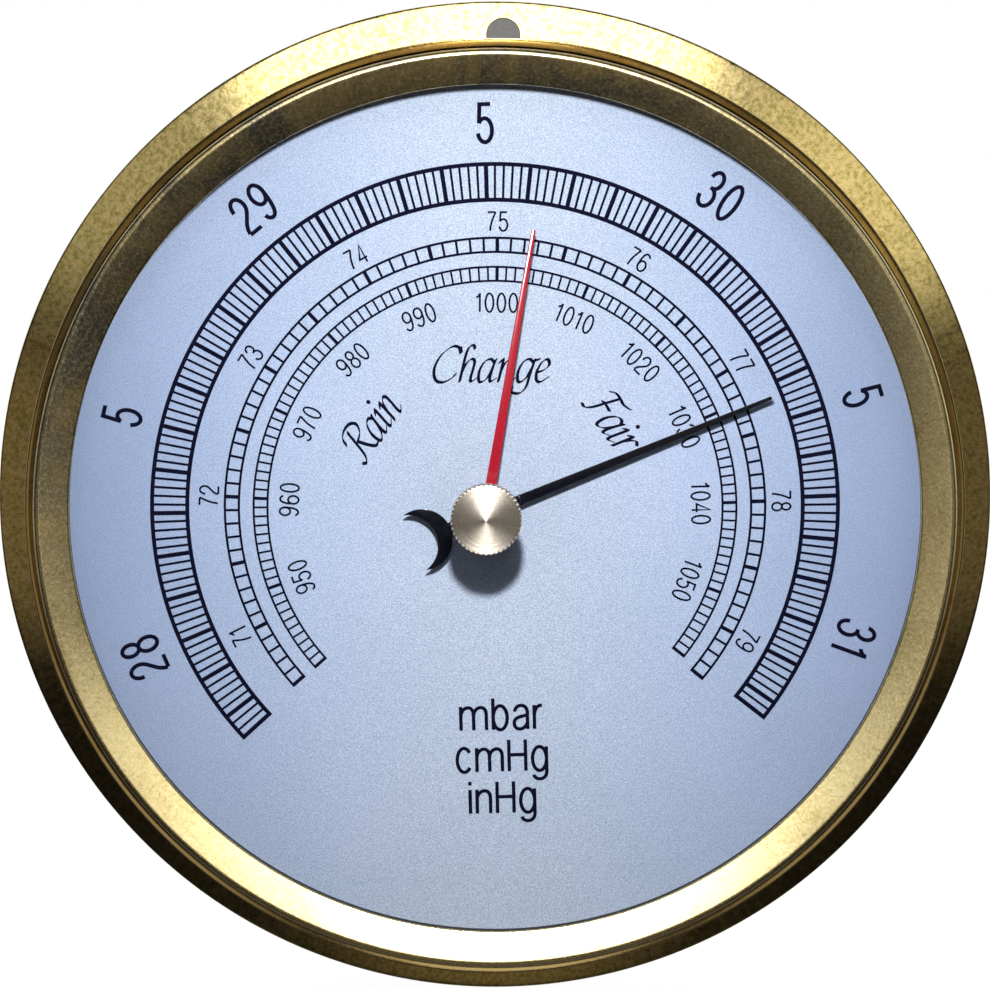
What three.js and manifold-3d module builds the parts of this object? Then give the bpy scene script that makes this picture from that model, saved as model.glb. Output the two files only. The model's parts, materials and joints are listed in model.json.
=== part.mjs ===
// Ship's aneroid barometer, millimetres.
// The dial faces -Y, +Z is up, and the origin is the centre of the flat back, against the wall.
// "Forward" is the distance ahead of the wall, so a point at forward f has y = -f.
// Angles on the dial are degrees clockwise from the top, as the reader sees them.
import * as THREE from "three";
import { mergeVertices } from "three/addons/utils/BufferGeometryUtils.js";
import Module from "manifold-3d";

const wasm = await Module();
wasm.setup();

// ---- Driving dimensions ----

const RING_SEGMENTS = 60;
const INNER_RING_SEGMENTS = 40;
const DISC_SEGMENTS = 24;
const PIN_SEGMENTS = 12;
const FIT_GAP = 0.03; // radial gap between pieces that are fixed to each other
const RUN_GAP = 0.08; // radial gap between a pivot and its hole

const FLANGE_RADIUS = 76.6;
const CASE_RADIUS = 68.5;
const SHEET = 1.2; // thickness of the spun brass case
const CASE_FRONT = 22.7;
const HANGING_HOLE_RADIUS = 2.65;
const HANGING_HOLE_CIRCLE = 71.5;
const HANGING_HOLE_ANGLES = [1, 181]; // the holes sit one degree clockwise of the upright
const THIRDS = [0, 120, 240];

const COLLAR_RADIUS = 70.6;
const COLLAR_FRONT = 24.7;
const COLLAR_BORE = 66.2;
const BEZEL_RADIUS = 68.9;
const BEZEL_OPENING = 63.7; // a 5 inch dial opening
const BEZEL_BACK = 23.95;
const BEZEL_FRONT = 27.8;

const GLASS_RADIUS = 65.3;
const GLASS_BACK = 24.5;
const GLASS_FRONT = 26;

const DIAL_RADIUS = 67;
const DIAL_BACK = 18.5;
const DIAL_FRONT = 19.5;
const DIAL_HOLE_RADIUS = 2.2;

const PAN_RADIUS = 67.1;
const PAN_FLOOR = 1.6;
const PAN_RIM = 16.6;
const CASE_SCREW_FORWARD = 14.6;

const BASE_FRONT = 3.2; // front face of the movement's base plate
const BRIDGE_BACK = 13.4;
const BRIDGE_FRONT = 14.6;
const COCK_BACK = 16.9;
const COCK_FRONT = 17.7;
const PILLARS = [[-22, -36], [22, -36], [-20, 9], [20, 9]];
const MOVEMENT_SCREWS = [[0, 17], [-27, -24], [27, -24]];

// The gear train: one sector tooth is 3 degrees, and the pinion turns twelve times as far.
const MODULE = 0.4;
const PINION_TEETH = 10;
const SECTOR_TEETH = 120;
const PINION_PITCH_RADIUS = (MODULE * PINION_TEETH) / 2;
const SECTOR_PITCH_RADIUS = (MODULE * SECTOR_TEETH) / 2;
const ADDENDUM = 0.26;
const DEDENDUM = 0.45;
const BACKLASH = 0.14;
const PRESSURE_ANGLE = THREE.MathUtils.degToRad(20);
const FIRST_SECTOR_TOOTH = -9;
const LAST_SECTOR_TOOTH = 5;
const SECTOR_BACK = 15.3;
const SECTOR_FRONT = 16.1;
const ARBOR_RADIUS = 0.75;

// The capsule pushes a finger on the rocking shaft, whose pin pushes the sector's tail.
const CAPSULE_RADIUS = 18;
const CAPSULE_Z = -20;
const CAPSULE_BACK = 4.4;
const CAPSULE_SEAM = 7;
const CAPSULE_FRONT = 9.6;
const DIAPHRAGM = 0.6;
const CAPSULE_MOUTH = 3.3;
const BOSS_TOP = 10.8;
const FINGER_ARM = 2.2;
const FINGER_CLEARANCE = 0.15;
const ROCKER_Z = CAPSULE_Z - FINGER_ARM;
const ROCKER_FORWARD = 12;
const ROCKER_RADIUS = 0.8;
const ROCKER_LEFT = -18.2;
const ROCKER_RIGHT = 5.4;
const TAIL_ARM = 3.7; // equals the pin's reach ahead of the shaft, so both turn alike
const TAIL_CLEARANCE = 0.25;
const LEVER_PIN_RADIUS = 0.35;
const SECTOR_Z = ROCKER_Z;
const SECTOR_X = -Math.sqrt((PINION_PITCH_RADIUS + SECTOR_PITCH_RADIUS) ** 2 - SECTOR_Z ** 2);
const LEVER_X = SECTOR_X + TAIL_ARM;

const HAND_ANGLE = 67.8; // reads about 1031 mbar
const HAND_BACK = 21.4;
const HAND_FRONT = 21.8;
const HAND_LENGTH = 45;
const CRESCENT_RADIUS = 4.65;
const CRESCENT_OFFSET = 11.9;
const CRESCENT_BITE = 2.4;

const SET_AXIS_X = -1.3; // the hole in the glass lies a little left of the dial's centre
const SET_ANGLE = 9.5;
const SET_BACK = 23.7;
const SET_FRONT = 24.05;
const SET_LENGTH = 42.9;
const SPINDLE_RADIUS = 1;
const KNOB_RADIUS = 5.3;
const KNOB_BACK = 27.4;
const KNOB_RIM_BACK = 32.7;
const KNOB_RIM_FRONT = 35.1;
const KNOB_APEX = 37.5;
const KNURLS = 44;
const KNURL_DEPTH = 0.28;

// ---- Shape helpers ----

const degrees = THREE.MathUtils.degToRad;

// A point on the dial at a radius and a clockwise angle, as [x, z].
function onDial(radius, angle) {
  return [radius * Math.sin(degrees(angle)), radius * Math.cos(degrees(angle))];
}

// A turned piece from [radius, forward] points, open between the last point and the first.
function turned(points, segments, x = 0, z = 0) {
  let area = 0;
  points.forEach(([r, f], i) => {
    const [nextR, nextF] = points[(i + 1) % points.length];
    area += r * nextF - nextR * f;
  });
  const ordered = area > 0 ? [...points].reverse() : [...points];
  const onAxis = ordered.filter(([r]) => r === 0).length > 0;
  while (onAxis && !(ordered[0][0] === 0 && ordered[ordered.length - 1][0] === 0)) {
    ordered.push(ordered.shift());
  }
  if (!onAxis) {
    ordered.push(ordered[0]);
  }
  const outline = ordered.map(([r, f]) => new THREE.Vector2(r, -f));
  return new THREE.LatheGeometry(outline, segments).translate(x, 0, z);
}

function rod(radius, from, to, segments, x = 0, z = 0) {
  return turned([[0, from], [radius, from], [radius, to], [0, to]], segments, x, z);
}

function tube(inner, outer, from, to, segments, x = 0, z = 0) {
  return turned([[inner, from], [outer, from], [outer, to], [inner, to]], segments, x, z);
}

// A flat piece cut to a shape in the dial's plane, from one forward distance to another.
function plate(shape, from, to, curveSegments = 5) {
  const options = { depth: to - from, bevelEnabled: false, curveSegments };
  return new THREE.ExtrudeGeometry(shape, options).rotateX(Math.PI / 2).translate(0, -from, 0);
}

function block(left, right, from, to, bottom, top) {
  const box = new THREE.BoxGeometry(right - left, to - from, top - bottom);
  return box.translate((left + right) / 2, -(from + to) / 2, (bottom + top) / 2);
}

function roundedRectangle(left, right, bottom, top, corner) {
  const shape = new THREE.Shape();
  shape.moveTo(left + corner, bottom);
  shape.lineTo(right - corner, bottom);
  shape.absarc(right - corner, bottom + corner, corner, -Math.PI / 2, 0);
  shape.lineTo(right, top - corner);
  shape.absarc(right - corner, top - corner, corner, 0, Math.PI / 2);
  shape.lineTo(left + corner, top);
  shape.absarc(left + corner, top - corner, corner, Math.PI / 2, Math.PI);
  shape.lineTo(left, bottom + corner);
  shape.absarc(left + corner, bottom + corner, corner, Math.PI, 1.5 * Math.PI);
  return shape;
}

function polygon(points) {
  return new THREE.Shape(points.map(([x, z]) => new THREE.Vector2(x, z)));
}

function toSolid(geometry) {
  const bare = geometry.clone();
  bare.deleteAttribute("normal");
  bare.deleteAttribute("uv");
  const merged = mergeVertices(bare, 1e-4);
  return new wasm.Manifold(new wasm.Mesh({
    numProp: 3,
    vertProperties: merged.attributes.position.array,
    triVerts: new Uint32Array(merged.index.array),
  }));
}

function toGeometry(solid) {
  const mesh = solid.getMesh();
  const geometry = new THREE.BufferGeometry();
  geometry.setAttribute("position", new THREE.BufferAttribute(mesh.vertProperties, 3));
  geometry.setIndex(new THREE.BufferAttribute(mesh.triVerts, 1));
  geometry.computeVertexNormals();
  return geometry;
}

function cut(geometry, tools) {
  return toGeometry(tools.reduce((rest, tool) => rest.subtract(toSolid(tool)), toSolid(geometry)));
}

function join(geometries) {
  return toGeometry(geometries.slice(1).reduce((sum, g) => sum.add(toSolid(g)), toSolid(geometries[0])));
}

// ---- Materials ----

const finishes = {
  brass: { color: 0xb8924a, roughness: 0.35, metalness: 1 },
  oldBrass: { color: 0x8a6a35, roughness: 0.5, metalness: 1 },
  steel: { color: 0xa8acb2, roughness: 0.35, metalness: 1 },
  silver: { color: 0xb8c0cf, roughness: 0.45, metalness: 1 },
  glass: { color: 0xe8f0f2, roughness: 0.05, metalness: 0, transparent: true, opacity: 0.25 },
  aluminium: { color: 0xb9c5dc, roughness: 0.5, metalness: 0.6 },
  black: { color: 0x0c0c12, roughness: 0.4, metalness: 0 },
  red: { color: 0xc01c34, roughness: 0.4, metalness: 0 },
  rubber: { color: 0x1d1d1f, roughness: 0.8, metalness: 0 },
};

const barometer = new THREE.Group();
barometer.name = "aneroid_barometer";

function add(name, finish, geometry) {
  const mesh = new THREE.Mesh(geometry, new THREE.MeshStandardMaterial(finishes[finish]));
  mesh.name = name;
  barometer.add(mesh);
}

// ---- Case ----

// Spun from one sheet: a rolled rim, a gently sloping flange and the drum.
function caseShell() {
  const outside = [
    [FLANGE_RADIUS, 0], [FLANGE_RADIUS, 8.8], [76.4, 9.4], [75.9, 9.8], [75.2, 10.05],
    [70.2, 11.15], [69, 11.7], [CASE_RADIUS, 12.6], [CASE_RADIUS, CASE_FRONT],
  ];
  const inside = [
    [CASE_RADIUS - SHEET, CASE_FRONT], [CASE_RADIUS - SHEET, 12.1], [68, 10.9], [69.5, 10.1],
    [74.4, 9], [75.1, 8.7], [FLANGE_RADIUS - SHEET, 8.2], [FLANGE_RADIUS - SHEET, 0],
  ];
  const shell = turned([...outside, ...inside], RING_SEGMENTS);
  const hangingHoles = HANGING_HOLE_ANGLES.map((angle) => {
    const [x, z] = onDial(HANGING_HOLE_CIRCLE, angle);
    return rod(HANGING_HOLE_RADIUS, 8, 13.5, PIN_SEGMENTS * 2, x, z);
  });
  return cut(shell, [...hangingHoles, ...caseScrewHoles()]);
}

// Rods that point out of the drum's side, where the three case screws go.
function radial(geometry, angle) {
  const outward = geometry.rotateX(-Math.PI / 2).translate(0, -CASE_SCREW_FORWARD, 0);
  return outward.rotateY(degrees(angle));
}

const CASE_SCREW_ANGLES = THIRDS.map((angle) => angle + 60);
const CASE_SCREW_SHANK = 1;

function caseScrewHoles() {
  return CASE_SCREW_ANGLES.map((angle) =>
    radial(rod(CASE_SCREW_SHANK + 0.12, PAN_RADIUS - 3, CASE_RADIUS + 2, PIN_SEGMENTS), angle));
}

// A cheese-head screw holding the drum to the back pan, seen at the side below the collar.
function caseScrew(angle) {
  const head = CASE_RADIUS + 0.15;
  const screw = turned([
    [0, PAN_RADIUS - 1.8], [CASE_SCREW_SHANK, PAN_RADIUS - 1.8], [CASE_SCREW_SHANK, head],
    [1.7, head], [1.7, head + 0.8], [1.4, head + 1.1], [0, head + 1.1],
  ], PIN_SEGMENTS);
  return radial(cut(screw, [block(-2, 2, head + 0.6, head + 2, -0.25, 0.25)]), angle);
}

// The collar is soldered on the drum's front edge; its face has a groove around the bezel.
function frontCollar() {
  return turned([
    [COLLAR_BORE, CASE_FRONT], [COLLAR_RADIUS, CASE_FRONT], [COLLAR_RADIUS, COLLAR_FRONT - 0.3],
    [COLLAR_RADIUS - 0.25, COLLAR_FRONT], [69.35, COLLAR_FRONT], [69.25, COLLAR_FRONT - 0.9],
    [COLLAR_BORE, COLLAR_FRONT - 0.9],
  ], RING_SEGMENTS);
}

// The bezel screws into the collar by its skirt and holds the glass under its lip.
function bezelRing() {
  const skirt = COLLAR_BORE - 0.1;
  return turned([
    [BEZEL_OPENING, GLASS_FRONT], [BEZEL_OPENING + 0.1, GLASS_FRONT + 0.35],
    [67.7, BEZEL_FRONT], [68.4, 27.6], [BEZEL_RADIUS - 0.08, 27],
    [BEZEL_RADIUS, BEZEL_BACK], [skirt, BEZEL_BACK], [skirt, CASE_FRONT + 0.2],
    [GLASS_RADIUS + 0.2, CASE_FRONT + 0.2], [GLASS_RADIUS + 0.2, GLASS_FRONT],
  ], RING_SEGMENTS);
}

function backPan() {
  const pan = turned([
    [0, 0], [PAN_RADIUS - 0.6, 0], [PAN_RADIUS, 0.6], [PAN_RADIUS, PAN_RIM],
    [PAN_RADIUS - SHEET, PAN_RIM], [PAN_RADIUS - SHEET, PAN_FLOOR], [0, PAN_FLOOR],
  ], RING_SEGMENTS);
  const countersinks = MOVEMENT_SCREWS.map(([x, z]) => turned([
    [0, -1], [4, -1], [2.75, 0], [1.4, 1.35], [1.4, 3], [0, 3],
  ], DISC_SEGMENTS, x, z));
  const adjusterHole = rod(2.7, -1, 3, DISC_SEGMENTS, 0, CAPSULE_Z);
  const ventHole = rod(1.5, -1, 3, PIN_SEGMENTS, 0, 40);
  return cut(pan, [...countersinks, adjusterHole, ventHole, ...caseScrewHoles()]);
}

function countersunkScrew(x, z) {
  const screw = turned([
    [0, 0.1], [2.6, 0.1], [1.3, 1.4], [1.3, BASE_FRONT - 0.2], [0, BASE_FRONT - 0.2],
  ], PIN_SEGMENTS);
  return cut(screw, [block(-3, 3, -1, 0.6, -0.3, 0.3)]).translate(x, 0, z);
}

function addCase() {
  add("case_shell", "brass", caseShell());
  add("front_collar", "brass", frontCollar());
  add("bezel_ring", "brass", bezelRing());
  add("back_pan", "oldBrass", backPan());
  CASE_SCREW_ANGLES.forEach((angle, i) => add(`case_screw_${i + 1}`, "brass", caseScrew(angle)));
  MOVEMENT_SCREWS.forEach(([x, z], i) => add(`movement_screw_${i + 1}`, "steel", countersunkScrew(x, z)));
}

// ---- Dial and glass ----

function addDial() {
  add("dial_seat_ring", "oldBrass", tube(64.2, DIAL_RADIUS, PAN_RIM, DIAL_BACK, INNER_RING_SEGMENTS));
  add("dial_plate", "aluminium", tube(DIAL_HOLE_RADIUS, DIAL_RADIUS, DIAL_BACK, DIAL_FRONT, INNER_RING_SEGMENTS));
  add("dial_spacer_ring", "oldBrass", tube(65.9, DIAL_RADIUS, DIAL_FRONT, CASE_FRONT, INNER_RING_SEGMENTS));
}

const BUSHING_RADIUS = 2.4;

function addGlass() {
  const pane = rod(GLASS_RADIUS, GLASS_BACK, GLASS_FRONT, RING_SEGMENTS);
  const hole = rod(BUSHING_RADIUS + FIT_GAP, GLASS_BACK - 1, GLASS_FRONT + 1, DISC_SEGMENTS, SET_AXIS_X, 0);
  add("glass", "glass", cut(pane, [hole]));
  add("glass_gasket", "rubber", tube(64.6, GLASS_RADIUS, 23.3, GLASS_BACK, INNER_RING_SEGMENTS));
  add("glass_bushing", "brass", turned([
    [SPINDLE_RADIUS + RUN_GAP, GLASS_BACK], [BUSHING_RADIUS, GLASS_BACK], [BUSHING_RADIUS, GLASS_FRONT],
    [3.2, GLASS_FRONT], [3.2, GLASS_FRONT + 0.6], [SPINDLE_RADIUS + RUN_GAP, GLASS_FRONT + 0.6],
  ], DISC_SEGMENTS, SET_AXIS_X, 0));
}

// ---- Movement frame ----

const PLATE_SCREW_RADIUS = 0.9;

function basePlate() {
  const outline = plate(roundedRectangle(-32, 32, -42, 22, 9), PAN_FLOOR, BASE_FRONT);
  const screwHoles = MOVEMENT_SCREWS.map(([x, z]) => rod(1.4, 1, 4, PIN_SEGMENTS, x, z));
  const adjusterHole = rod(2 + RUN_GAP, 1, 4, DISC_SEGMENTS, 0, CAPSULE_Z);
  const pivotHole = rod(ARBOR_RADIUS + RUN_GAP, 1, 4, PIN_SEGMENTS);
  return cut(outline, [...screwHoles, adjusterHole, pivotHole]);
}

// Each pillar is waisted, and drilled at its front end for a bridge screw.
function pillar(x, z) {
  return turned([
    [0, BASE_FRONT], [3, BASE_FRONT], [3, BASE_FRONT + 1.2], [2.2, BASE_FRONT + 1.8],
    [2.2, BRIDGE_BACK], [PLATE_SCREW_RADIUS + FIT_GAP, BRIDGE_BACK],
    [PLATE_SCREW_RADIUS + FIT_GAP, BRIDGE_BACK - 4], [0, BRIDGE_BACK - 4],
  ], PIN_SEGMENTS, x, z);
}

// A cheese-head screw with a slot, its head resting at the given forward distance.
function plateScrew(x, z, seat, length, headRadius, headHeight) {
  const screw = turned([
    [0, seat - length], [PLATE_SCREW_RADIUS, seat - length], [PLATE_SCREW_RADIUS, seat],
    [headRadius, seat], [headRadius, seat + headHeight], [0, seat + headHeight],
  ], PIN_SEGMENTS);
  const top = seat + headHeight;
  return cut(screw, [block(-3, 3, top - headHeight / 2, top + 1, -0.22, 0.22)]).translate(x, 0, z);
}

const COCK_PILLARS = [[-19.5, -12], [6, 6.5]];

function bridgePlate() {
  const outline = plate(roundedRectangle(-26, 26, -40, 13, 6), BRIDGE_BACK, BRIDGE_FRONT);
  const slot = block(LEVER_X - 1.2, LEVER_X + 1.2, 13, 15, ROCKER_Z - 2.4, ROCKER_Z + 2.4);
  const window = plate(roundedRectangle(7, 21, -33, -8, 3), 13, 15);
  const screws = [...PILLARS, ...COCK_PILLARS].map(([x, z]) =>
    rod(PLATE_SCREW_RADIUS + FIT_GAP, 13, 15, PIN_SEGMENTS, x, z));
  const pivots = [[0, 0], [SECTOR_X, SECTOR_Z]].map(([x, z]) =>
    rod(ARBOR_RADIUS + RUN_GAP, 13, 15, PIN_SEGMENTS, x, z));
  return cut(outline, [slot, window, ...screws, ...pivots]);
}

// The cock carries the front pivots of the sector and of the pointer's arbor.
function sectorCock() {
  const outline = plate(polygon([
    [-22.5, -10], [-19, -25], [-10, -25], [-11, -15], [3.5, -3.5], [10, 4], [8, 10], [2, 9], [-18, -8.5],
  ]), COCK_BACK, COCK_FRONT);
  const pivots = [[0, 0], [SECTOR_X, SECTOR_Z]].map(([x, z]) =>
    rod(ARBOR_RADIUS + RUN_GAP, 16, 18, PIN_SEGMENTS, x, z));
  const screws = COCK_PILLARS.map(([x, z]) =>
    rod(PLATE_SCREW_RADIUS + FIT_GAP, 16, 18, PIN_SEGMENTS, x, z));
  return cut(outline, [...pivots, ...screws]);
}

// The rocking shaft turns in two ears that hang behind the bridge plate.
function rockerEar(left, right) {
  const ear = block(left, right, ROCKER_FORWARD - 1.8, BRIDGE_BACK, ROCKER_Z - 2, ROCKER_Z + 2);
  return cut(ear, [alongShaft(ROCKER_RADIUS + RUN_GAP, left - 1, right + 1)]);
}

function alongShaft(radius, left, right) {
  const bar = new THREE.CylinderGeometry(radius, radius, right - left, PIN_SEGMENTS);
  return bar.rotateZ(Math.PI / 2).translate((left + right) / 2, -ROCKER_FORWARD, ROCKER_Z);
}

function addFrame() {
  add("base_plate", "brass", basePlate());
  PILLARS.forEach(([x, z], i) => add(`pillar_${i + 1}`, "brass", pillar(x, z)));
  add("bridge_plate", "brass", bridgePlate());
  PILLARS.forEach(([x, z], i) => {
    add(`bridge_screw_${i + 1}`, "steel", plateScrew(x, z, BRIDGE_FRONT, 3.5, 1.9, 1.2));
  });
  COCK_PILLARS.forEach(([x, z], i) => {
    const post = tube(PLATE_SCREW_RADIUS + FIT_GAP, 1.8, BRIDGE_FRONT, COCK_BACK, PIN_SEGMENTS, x, z);
    add(`cock_pillar_${i + 1}`, "brass", post);
    add(`cock_screw_${i + 1}`, "steel", plateScrew(x, z, COCK_FRONT, 4, 1.6, 0.6));
  });
  add("sector_cock", "brass", sectorCock());
  add("rocker_ear_left", "brass", rockerEar(ROCKER_LEFT + 0.2, ROCKER_LEFT + 1.7));
  add("rocker_ear_right", "brass", rockerEar(ROCKER_RIGHT - 1.7, ROCKER_RIGHT - 0.2));
}

// ---- Pressure capsule ----

// One corrugated diaphragm, from its centre hole out to the seam.
function diaphragm(seam, crown, mouth) {
  const steps = [[0.3, 1], [0.4, 0.62], [0.52, 1], [0.64, 0.62], [0.78, 1], [0.88, 0.45]];
  const height = crown - seam;
  const sheet = Math.sign(height) * DIAPHRAGM;
  const outer = steps.map(([share, rise]) => [share * CAPSULE_RADIUS, seam + rise * height]);
  const inner = outer.map(([r, f]) => [r, f - sheet]).reverse();
  return turned([
    [mouth, crown], ...outer, [CAPSULE_RADIUS, seam + sheet], [CAPSULE_RADIUS, seam],
    [0.9 * CAPSULE_RADIUS, seam], ...inner, [mouth, crown - sheet],
  ], DISC_SEGMENTS, 0, CAPSULE_Z);
}

function addCapsule() {
  const foot = CAPSULE_BACK + DIAPHRAGM;
  add("capsule_foot", "brass", turned([
    [0, BASE_FRONT], [5, BASE_FRONT], [5, CAPSULE_BACK], [CAPSULE_MOUTH - FIT_GAP, CAPSULE_BACK],
    [CAPSULE_MOUTH - FIT_GAP, foot], [0, foot],
  ], DISC_SEGMENTS, 0, CAPSULE_Z));
  add("capsule_back_diaphragm", "silver", diaphragm(CAPSULE_SEAM, CAPSULE_BACK, CAPSULE_MOUTH));
  add("capsule_front_diaphragm", "silver", diaphragm(CAPSULE_SEAM, CAPSULE_FRONT, CAPSULE_MOUTH));
  add("capsule_boss", "brass", turned([
    [0, 8], [2.9, 8], [2.9, 10], [1.2, 10.2], [0.2, BOSS_TOP], [0, BOSS_TOP],
  ], PIN_SEGMENTS, 0, CAPSULE_Z));
  const screw = rod(2, 0.5, BASE_FRONT - 0.2, DISC_SEGMENTS, 0, CAPSULE_Z);
  const slot = block(-3, 3, -1, 1.3, CAPSULE_Z - 0.35, CAPSULE_Z + 0.35);
  add("adjusting_screw", "steel", cut(screw, [slot]));
}

// ---- Rocking shaft, sector and pinion ----

function rockingShaft() {
  const fingerBack = BOSS_TOP + FINGER_CLEARANCE;
  const finger = block(-1.2, 1.2, fingerBack, ROCKER_FORWARD, ROCKER_Z, CAPSULE_Z + 0.9);
  const lever = rod(0.6, ROCKER_FORWARD, SECTOR_BACK - 0.7, PIN_SEGMENTS, LEVER_X, ROCKER_Z);
  const pin = rod(LEVER_PIN_RADIUS, ROCKER_FORWARD, SECTOR_FRONT + 0.4, PIN_SEGMENTS, LEVER_X, ROCKER_Z);
  return join([alongShaft(ROCKER_RADIUS, ROCKER_LEFT, ROCKER_RIGHT), finger, lever, pin]);
}

// Half of a tooth's angle at a radius, for an involute flank with backlash.
function halfTooth(teeth, pitchRadius, radius) {
  const baseRadius = pitchRadius * Math.cos(PRESSURE_ANGLE);
  const flankAngle = Math.acos(Math.min(1, baseRadius / Math.max(radius, baseRadius)));
  const involute = (angle) => Math.tan(angle) - angle;
  const atPitch = Math.PI / (2 * teeth) - BACKLASH / (2 * pitchRadius);
  return atPitch + involute(PRESSURE_ANGLE) - involute(flankAngle);
}

// The outline of one tooth centred on a clockwise angle, root to tip to root, as [x, z] points.
function toothOutline(teeth, pitchRadius, centre) {
  const root = pitchRadius - DEDENDUM;
  const tip = pitchRadius + ADDENDUM;
  const radii = [root, Math.max(root, pitchRadius * Math.cos(PRESSURE_ANGLE)), pitchRadius, tip];
  const flank = [...new Set(radii)].map((r) => [r, THREE.MathUtils.radToDeg(halfTooth(teeth, pitchRadius, r))]);
  const rising = flank.map(([r, half]) => onDial(r, centre - half));
  const falling = flank.reverse().map(([r, half]) => onDial(r, centre + half));
  return [...rising, ...falling];
}

function pinion(towardsSector) {
  const pitch = 360 / PINION_TEETH;
  const outline = [];
  for (let tooth = 0; tooth < PINION_TEETH; tooth += 1) {
    const centre = towardsSector + (tooth + 0.5) * pitch;
    outline.push(...toothOutline(PINION_TEETH, PINION_PITCH_RADIUS, centre));
  }
  const bore = rod(ARBOR_RADIUS + FIT_GAP, 14, 18, PIN_SEGMENTS);
  return cut(plate(polygon(outline), SECTOR_BACK - 0.3, SECTOR_FRONT + 0.3), [bore]);
}

function sectorGear(towardsPinion) {
  const pitch = 360 / SECTOR_TEETH;
  const outline = [onDial(4, towardsPinion - 90)];
  for (let tooth = FIRST_SECTOR_TOOTH; tooth <= LAST_SECTOR_TOOTH; tooth += 1) {
    const centre = towardsPinion + tooth * pitch;
    outline.push(...toothOutline(SECTOR_TEETH, SECTOR_PITCH_RADIUS, centre));
  }
  outline.push(onDial(4, towardsPinion + 80));
  const fan = plate(polygon(outline), SECTOR_BACK, SECTOR_FRONT);
  const hub = rod(3, SECTOR_BACK, SECTOR_FRONT, DISC_SEGMENTS);
  const tailSide = LEVER_PIN_RADIUS + TAIL_CLEARANCE;
  const tail = block(0, TAIL_ARM + 1.4, SECTOR_BACK, SECTOR_FRONT, tailSide, tailSide + 1.3);
  const middle = towardsPinion + ((FIRST_SECTOR_TOOTH + LAST_SECTOR_TOOTH) / 2) * pitch;
  const window = plate(polygon([
    onDial(9, middle - 12), onDial(20.5, middle - 14), onDial(20.5, middle + 14), onDial(9, middle + 12),
  ]), SECTOR_BACK - 1, SECTOR_FRONT + 1);
  const pinPath = plate(polygon([[1.7, 0.55], [6, 0.55], [6, -4], [1.7, -4]]), SECTOR_BACK - 1, SECTOR_FRONT + 1);
  const bore = rod(ARBOR_RADIUS + FIT_GAP, 14, 18, PIN_SEGMENTS);
  return cut(join([fan, hub, tail]), [window, pinPath, bore]).translate(SECTOR_X, 0, SECTOR_Z);
}

// The hairspring is a flat spiral that takes up the play in the train.
function hairspring() {
  const turns = 4;
  const perTurn = 18;
  const half = 0.09;
  const first = 1.75;
  const last = 5.8;
  const outer = [];
  const inner = [];
  for (let i = 0; i <= turns * perTurn; i += 1) {
    const share = i / (turns * perTurn);
    const radius = first + (last - first) * share;
    outer.push(onDial(radius + half, share * turns * 360));
    inner.unshift(onDial(radius - half, share * turns * 360));
  }
  return plate(polygon([...outer, ...inner]), 11.4, 12);
}

function addTrain() {
  add("rocking_shaft", "steel", rockingShaft());
  const towardsPinion = THREE.MathUtils.radToDeg(Math.atan2(-SECTOR_X, -SECTOR_Z));
  add("sector_gear", "brass", sectorGear(towardsPinion));
  const sectorArbor = rod(ARBOR_RADIUS, BRIDGE_BACK + 0.2, COCK_FRONT, PIN_SEGMENTS, SECTOR_X, SECTOR_Z);
  add("sector_arbor", "steel", sectorArbor);
  add("pinion", "brass", pinion(towardsPinion + 180));
  add("pointer_arbor", "steel", rod(ARBOR_RADIUS, PAN_FLOOR + 0.3, HAND_FRONT + 0.1, PIN_SEGMENTS));
  add("hairspring_collet", "brass", tube(ARBOR_RADIUS + FIT_GAP, 1.6, 11, 12.6, PIN_SEGMENTS));
  add("hairspring", "steel", hairspring());
  add("hairspring_stud", "brass", rod(0.8, 11, BRIDGE_BACK, PIN_SEGMENTS, ...onDial(7.2, 0)));
}

// ---- Hands and set knob ----

// A straight tapered hand with a round tip, pointing up from the origin.
function handShape(length, halfAtAxis, halfAtTip) {
  const shape = new THREE.Shape();
  shape.moveTo(-halfAtAxis, 0);
  shape.lineTo(halfAtAxis, 0);
  shape.lineTo(halfAtTip, length - halfAtTip);
  shape.absarc(0, length - halfAtTip, halfAtTip, 0, Math.PI);
  return shape;
}

function indicatingHand() {
  const blade = plate(handShape(HAND_LENGTH, 0.8, 0.28), HAND_BACK, HAND_FRONT, 5);
  const hub = rod(2.4, HAND_BACK, HAND_FRONT, DISC_SEGMENTS);
  const neck = block(-0.9, 0.9, HAND_BACK, HAND_FRONT, -CRESCENT_OFFSET + CRESCENT_RADIUS - 1, 0);
  const disc = rod(CRESCENT_RADIUS, HAND_BACK, HAND_FRONT, 48, 0, -CRESCENT_OFFSET);
  const biteCentre = -CRESCENT_OFFSET - CRESCENT_BITE;
  const bite = rod(CRESCENT_RADIUS, HAND_BACK - 1, HAND_FRONT + 1, 48, 0, biteCentre);
  const bore = rod(ARBOR_RADIUS + FIT_GAP, 20, 23, PIN_SEGMENTS);
  return cut(join([blade, hub, neck, disc]), [bite, bore]).rotateY(degrees(HAND_ANGLE));
}

function setHand() {
  const blade = plate(handShape(SET_LENGTH, 0.85, 0.33), SET_BACK, SET_FRONT, 5);
  const hub = rod(2.1, SET_BACK, SET_FRONT, DISC_SEGMENTS);
  const bore = rod(SPINDLE_RADIUS + FIT_GAP, 23, 25, PIN_SEGMENTS);
  return cut(join([blade, hub]), [bore]).rotateY(degrees(SET_ANGLE)).translate(SET_AXIS_X, 0, 0);
}

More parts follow.
